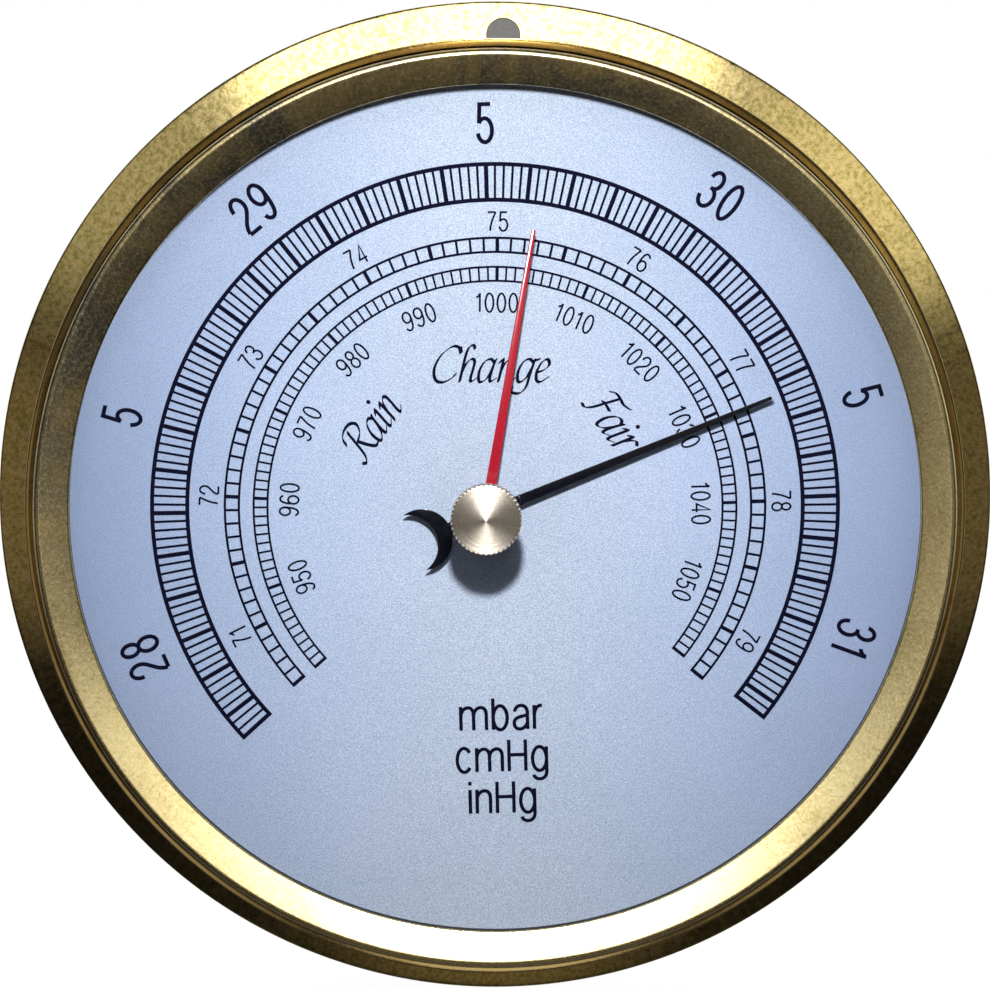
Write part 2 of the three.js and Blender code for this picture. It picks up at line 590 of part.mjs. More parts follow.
// The knob is a waisted stem under a knurled rim and a shallow cone.
function setKnob() {
  const socket = SPINDLE_RADIUS + FIT_GAP;
  const socketEnd = 32;
  const knob = turned([
    [0, socketEnd], [socket, socketEnd], [socket, KNOB_BACK], [2.7, KNOB_BACK], [2.3, 29],
    [2.7, 30.6], [KNOB_RADIUS - 0.3, KNOB_RIM_BACK], [KNOB_RADIUS, KNOB_RIM_BACK + 0.3],
    [KNOB_RADIUS, KNOB_RIM_FRONT - 0.2], [KNOB_RADIUS - 0.2, KNOB_RIM_FRONT], [0, KNOB_APEX],
  ], 2 * KNURLS);
  const position = knob.attributes.position;
  for (let i = 0; i < position.count; i += 1) {
    const x = position.getX(i);
    const z = position.getZ(i);
    const radius = Math.hypot(x, z);
    const step = Math.round((Math.atan2(x, z) / (2 * Math.PI)) * 2 * KNURLS);
    if (radius > KNOB_RADIUS - 0.35 && Math.abs(step) % 2 === 1) {
      const share = (radius - KNURL_DEPTH) / radius;
      position.setX(i, x * share);
      position.setZ(i, z * share);
    }
  }
  return knob.translate(SET_AXIS_X, 0, 0);
}

function addHands() {
  add("hand_boss", "brass", tube(ARBOR_RADIUS + FIT_GAP, 1.7, 20.2, HAND_BACK, DISC_SEGMENTS));
  add("indicating_hand", "black", indicatingHand());
  add("hand_cap", "black", rod(1.2, HAND_FRONT + 0.1, HAND_FRONT + 0.6, DISC_SEGMENTS));
  add("set_spindle", "brass", rod(SPINDLE_RADIUS, SET_BACK - 0.3, 31.8, PIN_SEGMENTS, SET_AXIS_X, 0));
  add("set_hand", "red", setHand());
  add("set_knob", "brass", setKnob());
}

addCase();
addDial();
addGlass();
addFrame();
addCapsule();
addTrain();
addHands();

export default barometer;
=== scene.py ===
"""Ship's aneroid barometer: refined shapes, printed dial, materials, studio light and camera.

Lengths in the tables below are millimetres. "Forward" is the distance ahead of the wall,
so a point at forward f has y = -f. Dial angles are degrees clockwise from the top.
"""

import json
import math

import bmesh
import bpy
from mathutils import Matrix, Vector
from mathutils.geometry import delaunay_2d_cdt

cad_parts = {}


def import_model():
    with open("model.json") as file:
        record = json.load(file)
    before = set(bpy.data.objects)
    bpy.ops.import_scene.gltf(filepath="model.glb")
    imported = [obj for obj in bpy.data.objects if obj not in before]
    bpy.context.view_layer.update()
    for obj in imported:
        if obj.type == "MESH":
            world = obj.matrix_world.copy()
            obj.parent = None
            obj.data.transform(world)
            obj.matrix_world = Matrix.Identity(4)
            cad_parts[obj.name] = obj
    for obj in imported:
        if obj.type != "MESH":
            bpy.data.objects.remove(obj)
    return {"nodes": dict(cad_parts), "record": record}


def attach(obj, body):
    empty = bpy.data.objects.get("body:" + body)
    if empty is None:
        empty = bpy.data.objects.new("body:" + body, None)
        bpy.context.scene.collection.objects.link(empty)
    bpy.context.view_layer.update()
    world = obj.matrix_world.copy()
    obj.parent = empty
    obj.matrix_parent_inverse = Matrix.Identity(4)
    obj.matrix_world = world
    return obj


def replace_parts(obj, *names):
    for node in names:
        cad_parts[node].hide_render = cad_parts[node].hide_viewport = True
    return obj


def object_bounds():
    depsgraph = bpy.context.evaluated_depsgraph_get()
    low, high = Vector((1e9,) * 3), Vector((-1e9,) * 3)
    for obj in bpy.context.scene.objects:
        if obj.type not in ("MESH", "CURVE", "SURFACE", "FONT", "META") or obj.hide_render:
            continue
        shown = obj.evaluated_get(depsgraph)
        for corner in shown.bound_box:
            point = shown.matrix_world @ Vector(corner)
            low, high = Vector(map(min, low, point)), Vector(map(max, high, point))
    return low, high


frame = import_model()
CAD_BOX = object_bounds()
NODES = frame["nodes"]
MM = 0.001
SET_X = -1.3  # the set knob's spindle, right of the dial's centre


# ---- Materials ----

class Graph:
    """A node tree with short helpers for filling it."""

    def __init__(self, tree):
        self.tree = tree

    def plug(self, socket, value):
        if isinstance(value, bpy.types.NodeSocket):
            self.tree.links.new(value, socket)
        elif isinstance(value, tuple) and socket.type == "RGBA":
            socket.default_value = (*value, 1.0)
        else:
            socket.default_value = value

    def set(self, node, sockets):
        for label, value in sockets.items():
            self.plug(node.inputs[label.replace("_", " ")], value)

    def add(self, kind, settings=None, **sockets):
        node = self.tree.nodes.new(kind)
        for key, value in (settings or {}).items():
            setattr(node, key, value)
        self.set(node, sockets)
        return node

    def math(self, operation, a, b=0.0):
        node = self.add("ShaderNodeMath", {"operation": operation})
        for socket, value in zip(node.inputs, (a, b)):
            self.plug(socket, value)
        return node.outputs[0]

    def linear(self, value, slope, start):
        return self.math("ADD", self.math("MULTIPLY", value, slope), start)

    def ramp(self, fac, stops):
        """Colour stops are (position, (r, g, b)) or (position, grey level)."""
        node = self.add("ShaderNodeValToRGB", Fac=fac)
        elements = node.color_ramp.elements
        while len(elements) < len(stops):
            elements.new(0.5)
        for element, (position, value) in zip(elements, stops):
            element.position = position
            level = value if isinstance(value, tuple) else (value,) * 3
            element.color = (*level, 1.0)
        return node.outputs["Color"]

    def mix(self, fac, a, b):
        node = self.add("ShaderNodeMix", {"data_type": "RGBA"})
        for place, value in ((0, fac), (6, a), (7, b)):
            self.plug(node.inputs[place], value)
        return node.outputs[2]

    def stain(self, base, mask, strength, colour):
        """The base colour with another laid over it where the mask is high."""
        return self.mix(self.math("MULTIPLY", mask, strength), base, colour)

    def span(self, value, low, high, shape="SMOOTHSTEP"):
        """A rise from 0 at low to 1 at high."""
        node = self.add("ShaderNodeMapRange", {"interpolation_type": shape},
                        Value=value, From_Min=low, From_Max=high)
        return node.outputs["Result"]


class Finish(Graph):
    """A Principled material whose inputs vary with the place on the object."""

    def __init__(self, name, **sockets):
        self.material = bpy.data.materials.new(name)
        self.material.use_nodes = True
        super().__init__(self.material.node_tree)
        self.shader = self.tree.nodes["Principled BSDF"]
        self.set(self.shader, sockets)
        self.position = self.add("ShaderNodeTexCoord").outputs["Object"]
        self.normal = None

    def noise(self, scale, detail=3.0, roughness=0.55, vector=None, distortion=0.0):
        node = self.add("ShaderNodeTexNoise", Scale=scale, Detail=detail, Roughness=roughness,
                        Distortion=distortion, Vector=vector or self.position)
        return node.outputs["Fac"]

    def axes(self):
        return self.add("ShaderNodeSeparateXYZ", Vector=self.position).outputs

    def turned_position(self, along=1.0, around=0.02, axis_x=0.0):
        """Coordinates that run fast across a lathe's marks and slowly along them."""
        axes = self.axes()
        x = self.math("SUBTRACT", axes["X"], axis_x)
        z = axes["Z"]
        radius = self.math("SQRT", self.math("ADD", self.math("MULTIPLY", x, x),
                                             self.math("MULTIPLY", z, z)))
        joined = self.add("ShaderNodeCombineXYZ", X=self.math("MULTIPLY", radius, along),
                          Y=self.math("MULTIPLY", axes["Y"], along),
                          Z=self.math("MULTIPLY", self.math("ARCTAN2", x, z), around))
        return joined.outputs["Vector"]

    def bump(self, height, strength, distance):
        below = {"Normal": self.normal} if self.normal else {}
        node = self.add("ShaderNodeBump", Strength=strength, Distance=distance, Height=height,
                        **below)
        self.normal = node.outputs["Normal"]
        self.wear(Normal=self.normal)

    def wear(self, **sockets):
        self.set(self.shader, sockets)


def brass_colour(finish, clean, worn, amount, patch_scale):
    """Clean metal under patches of tarnish; amount moves the patches' threshold."""
    patches = finish.noise(patch_scale, 5.0, 0.62, distortion=0.4)
    fac = finish.ramp(patches, [(0.62 - amount, 0.0), (0.80 - amount * 0.6, 1.0)])
    return finish.mix(fac, clean, worn)


def polished_brass():
    """The spun case: bright, mottled with tarnish and wiped in radial streaks."""
    finish = Finish("polished_brass", Metallic=1.0)
    base = brass_colour(finish, (0.88, 0.68, 0.26), (0.58, 0.43, 0.14), 0.12, 95.0)
    grain = finish.noise(1300.0, 4.0, 0.72)
    mottle = finish.ramp(grain, [(0.38, (0.36, 0.33, 0.07)), (0.50, (0.82, 0.64, 0.24)),
                                 (0.60, (1.0, 0.78, 0.38))])
    base = finish.mix(0.70, base, mottle)
    flecks = finish.ramp(finish.noise(1900.0, 2.0, 0.6), [(0.60, 0.0), (0.70, 1.0)])
    base = finish.stain(base, flecks, 0.60, (1.0, 0.52, 0.20))
    streaks = finish.noise(1100.0, 4.0, 0.65, finish.turned_position(0.14, 0.072))
    wiped = finish.ramp(streaks, [(0.38, 0.0), (0.70, 1.0)])
    base = finish.stain(base, wiped, 0.12, (0.62, 0.45, 0.15))
    freckles = finish.ramp(finish.noise(900.0, 4.0, 0.7), [(0.58, 0.0), (0.72, 1.0)])
    base = finish.stain(base, freckles, 0.40, (0.30, 0.17, 0.06))
    smudge = finish.noise(60.0, 4.0, 0.6)
    rough = finish.linear(smudge, 0.12, finish.math("MULTIPLY", wiped, 0.10))
    finish.wear(Base_Color=base, Roughness=finish.math("ADD", rough, 0.05))
    finish.bump(streaks, 0.05, 0.00006)
    finish.bump(grain, 0.10, 0.00005)
    return finish.material


def collar_brass():
    """The raised collar: golden-brown brass, smoother than the flange, with painted shade darkening
    its top.
    """
    finish = Finish("collar_brass", Metallic=1.0)
    base = brass_colour(finish, (0.72, 0.54, 0.24), (0.50, 0.34, 0.12), 0.10, 95.0)
    grain = finish.noise(2100.0, 3.0, 0.65)
    base = finish.mix(finish.ramp(grain, [(0.46, 0.0), (0.66, 0.35)]), base, (0.86, 0.70, 0.38))
    # Painted shade: the colour turns dark brown towards the top of the collar.
    height = finish.math("MULTIPLY", finish.axes()["Z"], 14.0)
    base = finish.mix(finish.ramp(height, [(0.60, 0.0), (0.95, 0.88)]), base, (0.14, 0.085, 0.022))
    finish.wear(Base_Color=base, Roughness=finish.linear(grain, 0.06, 0.09))
    finish.bump(grain, 0.12, 0.00003)
    return finish.material


def grained(name, noise, stops, rough, bump, bump_noise=None, **sockets):
    """A coat whose tone and roughness follow one grain; bump is a strength and a distance."""
    finish = Finish(name, **sockets)
    grain = finish.noise(*noise)
    finish.wear(Base_Color=finish.ramp(grain, stops), Roughness=finish.linear(grain, *rough))
    finish.bump(finish.noise(*bump_noise) if bump_noise else grain, *bump)
    return finish.material


def felt():
    """A grey ring under the flange, painted shade: it shows through the hanging holes, where there
    is only shade behind them.
    """
    return grained("hole_shade_grey", (2600.0, 5.0, 0.75), [(0.35, 0.115), (0.70, 0.155)],
                   (0.1, 0.85), (0.30, 0.00008), IOR=1.3)


def satin_brass():
    """The bezel: a grainy, lightly sparkling face, its top and upper left darkened by grey-brown
    blotches that are painted shade mixed with tarnish.
    """
    finish = Finish("satin_brass", Metallic=1.0)
    base = brass_colour(finish, (0.80, 0.66, 0.32), (0.56, 0.44, 0.17), 0.10, 75.0)
    axes = finish.axes()
    # Painted shade mixed with tarnish: grey-brown blotches darken the top and upper left of the
    # face.
    height = finish.linear(axes["Z"], 0.90, finish.math("MULTIPLY", axes["X"], -0.44))
    blotch = finish.noise(70.0, 5.0, 0.65, distortion=0.8)
    top_shade_and_tarnish = finish.math("MULTIPLY", finish.span(height, -0.006, 0.058),
                          finish.ramp(blotch, [(0.30, 0.45), (0.62, 1.0)]))
    shade_and_tarnish_tone = finish.ramp(blotch, [(0.44, (0.29, 0.205, 0.08)), (0.58, (0.15, 0.14, 0.115))])
    base = finish.stain(base, top_shade_and_tarnish, 0.92, shade_and_tarnish_tone)
    grain = finish.noise(2100.0, 4.0, 0.75)
    speckle = finish.ramp(grain, [(0.46, 0.0), (0.66, 1.0)])
    base = finish.stain(base, speckle, 0.45, (0.84, 0.74, 0.48))
    pits = finish.ramp(finish.noise(1500.0, 4.0, 0.7), [(0.56, 0.0), (0.70, 1.0)])
    base = finish.stain(base, pits, 0.50, (0.20, 0.15, 0.07))
    streaks = finish.noise(700.0, 3.0, 0.6, finish.turned_position(0.10, 0.066))
    finish.wear(Base_Color=base, Roughness=finish.linear(grain, 0.13, 0.18))
    finish.bump(grain, 0.22, 0.00004)
    finish.bump(streaks, 0.06, 0.00010)
    return finish.material


def knob_brass():
    """The set knob: pale brass with the fine concentric marks of the lathe."""
    finish = Finish("knob_brass", Metallic=1.0, Anisotropic=0.92)
    marks = finish.noise(4200.0, 2.0, 0.55, finish.turned_position(axis_x=SET_X * MM))
    tone = finish.ramp(marks, [(0.30, (0.40, 0.35, 0.29)), (0.70, (0.82, 0.75, 0.66))])
    spots = finish.ramp(finish.noise(420.0, 4.0, 0.6), [(0.52, 0.0), (0.75, 1.0)])
    tone = finish.stain(tone, spots, 0.50, (0.36, 0.29, 0.21))
    axes = finish.axes()
    outward = finish.add("ShaderNodeCombineXYZ", Y=0.0, Z=axes["Z"],
                         X=finish.math("SUBTRACT", axes["X"], SET_X * MM))
    radial = finish.add("ShaderNodeVectorMath", {"operation": "NORMALIZE"})
    finish.plug(radial.inputs[0], outward.outputs["Vector"])
    finish.wear(Base_Color=tone, Roughness=finish.linear(marks, 0.14, 0.46),
                Tangent=radial.outputs["Vector"])
    finish.bump(marks, 0.30, 0.00003)
    return finish.material


def old_brass():
    """The back pan and the hidden rings: dull, brown, handled brass."""
    finish = Finish("old_brass", Metallic=1.0)
    base = brass_colour(finish, (0.52, 0.37, 0.155), (0.25, 0.155, 0.065), 0.16, 55.0)
    turning = finish.noise(900.0, 3.0, 0.6, finish.turned_position())
    base = finish.stain(base, turning, 0.25, (0.62, 0.47, 0.22))
    spots = finish.ramp(finish.noise(480.0, 5.0, 0.7), [(0.60, 0.0), (0.72, 1.0)])
    base = finish.stain(base, spots, 0.6, (0.14, 0.09, 0.045))
    smear = finish.noise(38.0, 4.0, 0.6)
    finish.wear(Base_Color=base, Roughness=finish.linear(smear, 0.30, 0.20))
    finish.bump(turning, 0.20, 0.00008)
    finish.bump(finish.noise(1700.0, 3.0, 0.6), 0.12, 0.00005)
    return finish.material


def movement_brass():
    """Plates, pillars and gears: clean brass, brushed along X."""
    finish = Finish("movement_brass", Metallic=1.0)
    base = brass_colour(finish, (0.76, 0.60, 0.29), (0.52, 0.37, 0.16), 0.06, 160.0)
    lines = finish.add("ShaderNodeMapping", Vector=finish.position)
    lines.inputs["Scale"].default_value = (90.0, 2600.0, 2600.0)
    brushed = finish.noise(1.0, 3.0, 0.6, lines.outputs["Vector"])
    finish.wear(Base_Color=base, Roughness=finish.linear(brushed, 0.18, 0.20))
    finish.bump(brushed, 0.12, 0.00003)
    return finish.material


def steel(name, tone, low_roughness):
    finish = Finish(name, Metallic=1.0)
    cloud = finish.noise(340.0, 4.0, 0.6)
    dull = tuple(level * 0.72 for level in tone)
    marks = finish.noise(3800.0, 2.0, 0.6)
    base = finish.mix(finish.ramp(cloud, [(0.35, 0.0), (0.75, 1.0)]), tone, dull)
    finish.wear(Base_Color=base, Roughness=finish.linear(marks, 0.2, low_roughness))
    finish.bump(marks, 0.12, 0.00003)
    return finish.material


def dial_aluminium():
    """Satin anodised sheet: its fine upright grain spreads light sideways less than upward."""
    finish = Finish("dial_aluminium", Metallic=0.92, Anisotropic=0.70, IOR=1.45)
    grain = finish.noise(5600.0, 3.0, 0.8)
    base = finish.ramp(grain, [(0.32, (0.34, 0.41, 0.56)), (0.50, (0.57, 0.62, 0.735)),
                               (0.68, (0.82, 0.86, 0.94))])
    # Painted shade: the colour turns darker and bluer towards the left and right edges, which leaves
    # the middle whiter as a painted highlight.
    outward = finish.math("MULTIPLY", finish.math("ABSOLUTE", finish.axes()["X"]), 16.0)
    painted_side_shade = finish.ramp(outward, [(0.15, 0.0), (1.0, 0.70)])
    base = finish.mix(painted_side_shade, base, finish.mix(grain, (0.37, 0.46, 0.69), (0.60, 0.70, 0.95)))
    cloud = finish.noise(45.0, 4.0, 0.6)
    base = finish.mix(finish.ramp(cloud, [(0.35, 0.0), (0.75, 0.12)]), base, (0.46, 0.53, 0.72))
    upright = finish.add("ShaderNodeCombineXYZ", X=0.0, Y=0.0, Z=1.0)
    finish.wear(Base_Color=base, Roughness=finish.linear(grain, 0.10, 0.88),
                Tangent=upright.outputs["Vector"])
    finish.bump(finish.noise(5200.0, 3.0, 0.7), 0.22, 0.00004)
    return finish.material


def dial_ink():
    """Screen-printed navy ink, a little uneven in depth."""
    return grained("dial_ink", (1400.0, 4.0, 0.7),
                   [(0.35, (0.001, 0.001, 0.010)), (0.75, (0.004, 0.004, 0.026))],
                   (0.2, 0.75), (0.2, 0.00004), (5200.0, 3.0, 0.7), IOR=1.20)


def paint(name, tone, deep, rough_from):
    """Sprayed enamel: tone varies slightly, with faint orange peel and a thin gloss coat."""
    return grained(name, (700.0, 4.0, 0.6), [(0.35, tone), (0.75, deep)], (0.10, rough_from),
                   (0.10, 0.00004), (2400.0, 3.0, 0.55), IOR=1.45, Coat_Weight=0.10,
                   Coat_Roughness=0.08)


def rubber():
    return grained("gasket_rubber", (1300.0, 4.0, 0.7),
                   [(0.40, (0.009, 0.009, 0.011)), (0.80, (0.030, 0.030, 0.034))],
                   (0.2, 0.6), (0.2, 0.00004), IOR=1.5)


def clear_glass():
    """Thin clear pane: light passes straight through and glancing light is mirrored."""
    finish = Finish("clear_glass")
    haze = finish.noise(45.0, 4.0, 0.5)
    tint = finish.ramp(haze, [(0.35, (0.970, 0.985, 0.985)), (0.75, (0.990, 0.998, 1.0))])
    clear = finish.add("ShaderNodeBsdfTransparent", Color=tint)
    mirror = finish.add("ShaderNodeBsdfAnisotropic", Roughness=0.0, Color=(1.0, 1.0, 1.0))
    slant = finish.add("ShaderNodeLayerWeight", Blend=0.5).outputs["Facing"]
    glancing = finish.linear(finish.math("POWER", slant, 5.0), 0.90, 0.022)
    both = finish.add("ShaderNodeMixShader")
    for socket, source in zip(both.inputs, (glancing, clear.outputs[0], mirror.outputs[0])):
        finish.plug(socket, source)
    finish.tree.nodes.remove(finish.shader)
    finish.plug(finish.tree.nodes["Material Output"].inputs["Surface"], both.outputs[0])
    return finish.material


# ---- Mesh building ----

def finish_piece(name, bm, material, body, sharp_angle=35.0):
    bmesh.ops.recalc_face_normals(bm, faces=bm.faces)
    mesh = bpy.data.meshes.new(name)
    bm.to_mesh(mesh)
    bm.free()
    for polygon in mesh.polygons:
        polygon.use_smooth = True
    mesh.set_sharp_from_angle(angle=math.radians(sharp_angle))
    mesh.materials.append(material)
    piece = bpy.data.objects.new(name, mesh)
    bpy.context.scene.collection.objects.link(piece)
    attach(piece, body)
    return piece


def softened(profile, size, steps=3):
    """A closed [radius, forward] outline with its corners rounded by size."""
    result = []
    count = len(profile)
    for i, corner in enumerate(profile):
        here = Vector(corner)
        before = Vector(profile[i - 1]) - here
        after = Vector(profile[(i + 1) % count]) - here
        on_axis_or_doubled = here.x < 1e-6 or min(before.length, after.length) < 1e-6
        if on_axis_or_doubled or before.angle(after) > math.radians(168):
            result.append(tuple(here))
            continue
        start = here + before.normalized() * min(size, before.length * 0.4)
        end = here + after.normalized() * min(size, after.length * 0.4)
        for k in range(steps + 1):
            t = k / steps
            result.append(tuple(start * (1 - t) ** 2 + here * 2 * t * (1 - t) + end * t ** 2))
    return result


def lathe(profile, segments=256, centre=(0.0, 0.0), ripple=None):
    """A turned solid. ripple(radius, turn) may change a ring's radius round the axis."""
    bm = bmesh.new()
    rings = []
    for radius, forward in profile:
        if radius < 1e-6:
            rings.append([bm.verts.new((centre[0] * MM, -forward * MM, centre[1] * MM))])
            continue
        ring = []
        for i in range(segments):
            turn = 2 * math.pi * i / segments
            r = ripple(radius, turn) if ripple else radius
            ring.append(bm.verts.new(((centre[0] + r * math.sin(turn)) * MM, -forward * MM,
                                      (centre[1] + r * math.cos(turn)) * MM)))
        rings.append(ring)
    for k, ring in enumerate(rings):
        other = rings[(k + 1) % len(rings)]
        if len(ring) == 1 and len(other) == 1:
            continue
        for i in range(segments):
            j = (i + 1) % segments
            if len(ring) == 1:
                bm.faces.new((ring[0], other[j], other[i]))
            elif len(other) == 1:
                bm.faces.new((ring[i], ring[j], other[0]))
            else:
                bm.faces.new((ring[i], ring[j], other[j], other[i]))
    return bm


def cylinder_between(start, end, radius, segments=48):
    """A closed rod between two points in millimetres, used to cut holes."""
    start, end = Vector(start) * MM, Vector(end) * MM
    along = (end - start).normalized()
    side = along.orthogonal().normalized()
    up = along.cross(side)
    bm = bmesh.new()
    rings = []
    for point in (start, end):
        rings.append([bm.verts.new(point + radius * MM * (side * math.cos(a) + up * math.sin(a)))
                      for a in (2 * math.pi * i / segments for i in range(segments))])
    for i in range(segments):
        j = (i + 1) % segments
        bm.faces.new((rings[0][i], rings[0][j], rings[1][j], rings[1][i]))
    bm.faces.new(list(reversed(rings[0])))
    bm.faces.new(rings[1])
    bmesh.ops.recalc_face_normals(bm, faces=bm.faces)
    return bm


def loose_object(bm, name="cutter"):
    mesh = bpy.data.meshes.new(name)
    bm.to_mesh(mesh)
    bm.free()
    thing = bpy.data.objects.new(name, mesh)
    bpy.context.scene.collection.objects.link(thing)
    return thing


def with_cuts(bm, cutters):
    """The solid with each cutter's shape taken away."""
    solid = loose_object(bm, "solid")
    tools = [loose_object(cutter) for cutter in cutters]
    for tool in tools:
        modifier = solid.modifiers.new("cut", "BOOLEAN")
        modifier.operation = "DIFFERENCE"
        modifier.solver = "EXACT"
        modifier.object = tool
    graph = bpy.context.evaluated_depsgraph_get()
    result = bmesh.new()
    result.from_mesh(solid.evaluated_get(graph).to_mesh())
    for thing in [solid, *tools]:
        mesh = thing.data
        bpy.data.objects.remove(thing)
        bpy.data.meshes.remove(mesh)
    return result


def box_cutter(low, high, turn=0.0):
    """A block from low to high corner in millimetres, turned clockwise about the Y axis."""
    bm = bmesh.new()
    bmesh.ops.create_cube(bm, size=1.0)
    low, high = Vector(low), Vector(high)
    cos, sin = math.cos(math.radians(turn)), math.sin(math.radians(turn))
    for v in bm.verts:
        p = Vector(low[k] + (v.co[k] + 0.5) * (high[k] - low[k]) for k in range(3))
        v.co = Vector((p.x * cos + p.z * sin, p.y, p.z * cos - p.x * sin)) * MM
    return bm


def plate(outline, back, front, edge):
    """A flat plate of one [x, z] outline, its front edge broken by a small chamfer."""
    bm = bmesh.new()
    base = [bm.verts.new((x * MM, -back * MM, z * MM)) for x, z in outline]
    top = [bm.verts.new((x * MM, -front * MM, z * MM)) for x, z in outline]
    count = len(outline)
    bm.faces.new(base)
    front_face = bm.faces.new(top)
    for i in range(count):
        j = (i + 1) % count
        bm.faces.new((base[i], base[j], top[j], top[i]))
    bmesh.ops.recalc_face_normals(bm, faces=bm.faces)
    bmesh.ops.bevel(bm, geom=list(front_face.edges), offset=edge * MM, segments=2, profile=0.6,
                    affect="EDGES", clamp_overlap=True)
    return bm


def rotate_clockwise(points, angle, centre=(0.0, 0.0)):
    cos, sin = math.cos(math.radians(angle)), math.sin(math.radians(angle))
    return [(centre[0] + x * cos + z * sin, centre[1] + z * cos - x * sin) for x, z in points]


def arc(cx, cz, rx, rz, start, end, steps=28):
    """Points on an ellipse, from start to end in degrees counter-clockwise from the right."""
    return [(cx + rx * math.cos(math.radians(a)), cz + rz * math.sin(math.radians(a)))
            for a in (start + (end - start) * k / steps for k in range(steps + 1))]


def bezier(p0, p1, p2, p3, steps=16):
    return [tuple(p0[k] * (1 - t) ** 3 + 3 * p1[k] * t * (1 - t) ** 2
                  + 3 * p2[k] * t * t * (1 - t) + p3[k] * t ** 3 for k in (0, 1))
            for t in (i / steps for i in range(steps + 1))]


def spline(points, steps=9):
    """A smooth Catmull-Rom path through the points."""
    padded = [points[0], *points, points[-1]]
    path = []
    for i in range(1, len(padded) - 2):
        p0, p1, p2, p3 = padded[i - 1:i + 3]
        for k in range(steps):
            t = k / steps
            path.append(tuple(
                0.5 * (2 * p1[a] + (p2[a] - p0[a]) * t
                       + (2 * p0[a] - 5 * p1[a] + 4 * p2[a] - p3[a]) * t * t
                       + (3 * p1[a] - p0[a] - 3 * p2[a] + p3[a]) * t ** 3) for a in (0, 1)))
    path.append(points[-1])
    return path


# ---- Printing on the dial ----

INK_BACK = 19.495
INK_FRONT = 19.52


def ribbon(path, width):
    """Four-sided pieces of an even line along the path, mitred where they meet."""
    closed = math.dist(path[0], path[-1]) < 1e-6
    points = path[:-1] if closed else path
    count = len(points)
    sides = []
    for i, here in enumerate(points):
        before = points[i - 1] if closed or i > 0 else None
        after = points[(i + 1) % count] if closed or i < count - 1 else None
        directions = []
        for a, b in ((before, here), (here, after)):
            if a is not None and b is not None:
                directions.append((Vector(b) - Vector(a)).normalized())
        mean = sum(directions, Vector((0.0, 0.0))).normalized()
        normal = Vector((-mean.y, mean.x))
        reach = width / 2 / max(0.5, normal.dot(Vector((-directions[0].y, directions[0].x))))
        centre = Vector(here)
        sides.append((centre + normal * reach, centre - normal * reach))
    if closed:
        sides.append(sides[0])
    return [[a[0], a[1], b[1], b[0]] for a, b in zip(sides, sides[1:])]


def nib_stroke(path, width, thin, angle):
    """The trace of a broad pen held at a fixed angle, as one convex piece for each step."""
    along = Vector((math.cos(math.radians(angle)), math.sin(math.radians(angle))))
    across = Vector((-along.y, along.x))
    corners = [along * (width / 2 * a) + across * (thin / 2 * b)
               for a, b in ((-1, -1), (1, -1), (1, 1), (-1, 1))]
    return [convex_hull([Vector(p) + c for p in pair for c in corners])
            for pair in zip(path, path[1:])]


def convex_hull(points):
    points = sorted((p[0], p[1]) for p in points)

    def turns_left(a, b, c):
        return (b[0] - a[0]) * (c[1] - a[1]) - (b[1] - a[1]) * (c[0] - a[0]) > 1e-12

    def half(ordered):
        chain = []
        for p in ordered:
            while len(chain) > 1 and not turns_left(chain[-2], chain[-1], p):
                chain.pop()
            chain.append(p)
        return chain[:-1]

    return half(points) + half(points[::-1])


def signed_area(polygon):
    """Positive for a polygon that runs counter-clockwise."""
    return sum(a[0] * b[1] - b[0] * a[1] for a, b in zip(polygon, polygon[1:] + polygon[:1])) / 2


def ink(name, polygons, material):
    """One thin printed solid covering the union of the polygons, in dial millimetres."""
    points, faces = [], []
    for polygon in polygons:
        if signed_area(polygon) < 0:
            polygon = polygon[::-1]
        faces.append(list(range(len(points), len(points) + len(polygon))))
        points.extend(Vector((p[0], p[1])) for p in polygon)
    flat, _, triangles, _, _, sources = delaunay_2d_cdt(points, [], faces, 1, 1e-5)
    kept = [tri for tri, source in zip(triangles, sources) if source]
    bm = bmesh.new()
    back = [bm.verts.new((p.x * MM, -INK_BACK * MM, p.y * MM)) for p in flat]
    front = [bm.verts.new((p.x * MM, -INK_FRONT * MM, p.y * MM)) for p in flat]
    edges = set()
    for a, b, c in kept:
        edges.update(((a, b), (b, c), (c, a)))
        bm.faces.new((front[a], front[b], front[c]))
        bm.faces.new((back[c], back[b], back[a]))
    for a, b in edges:
        if (b, a) not in edges:
            bm.faces.new((front[b], front[a], back[a], back[b]))
    loose = [v for v in bm.verts if not v.link_faces]
    bmesh.ops.delete(bm, geom=loose, context="VERTS")
    return finish_piece(name, bm, material, "case", 30.0)


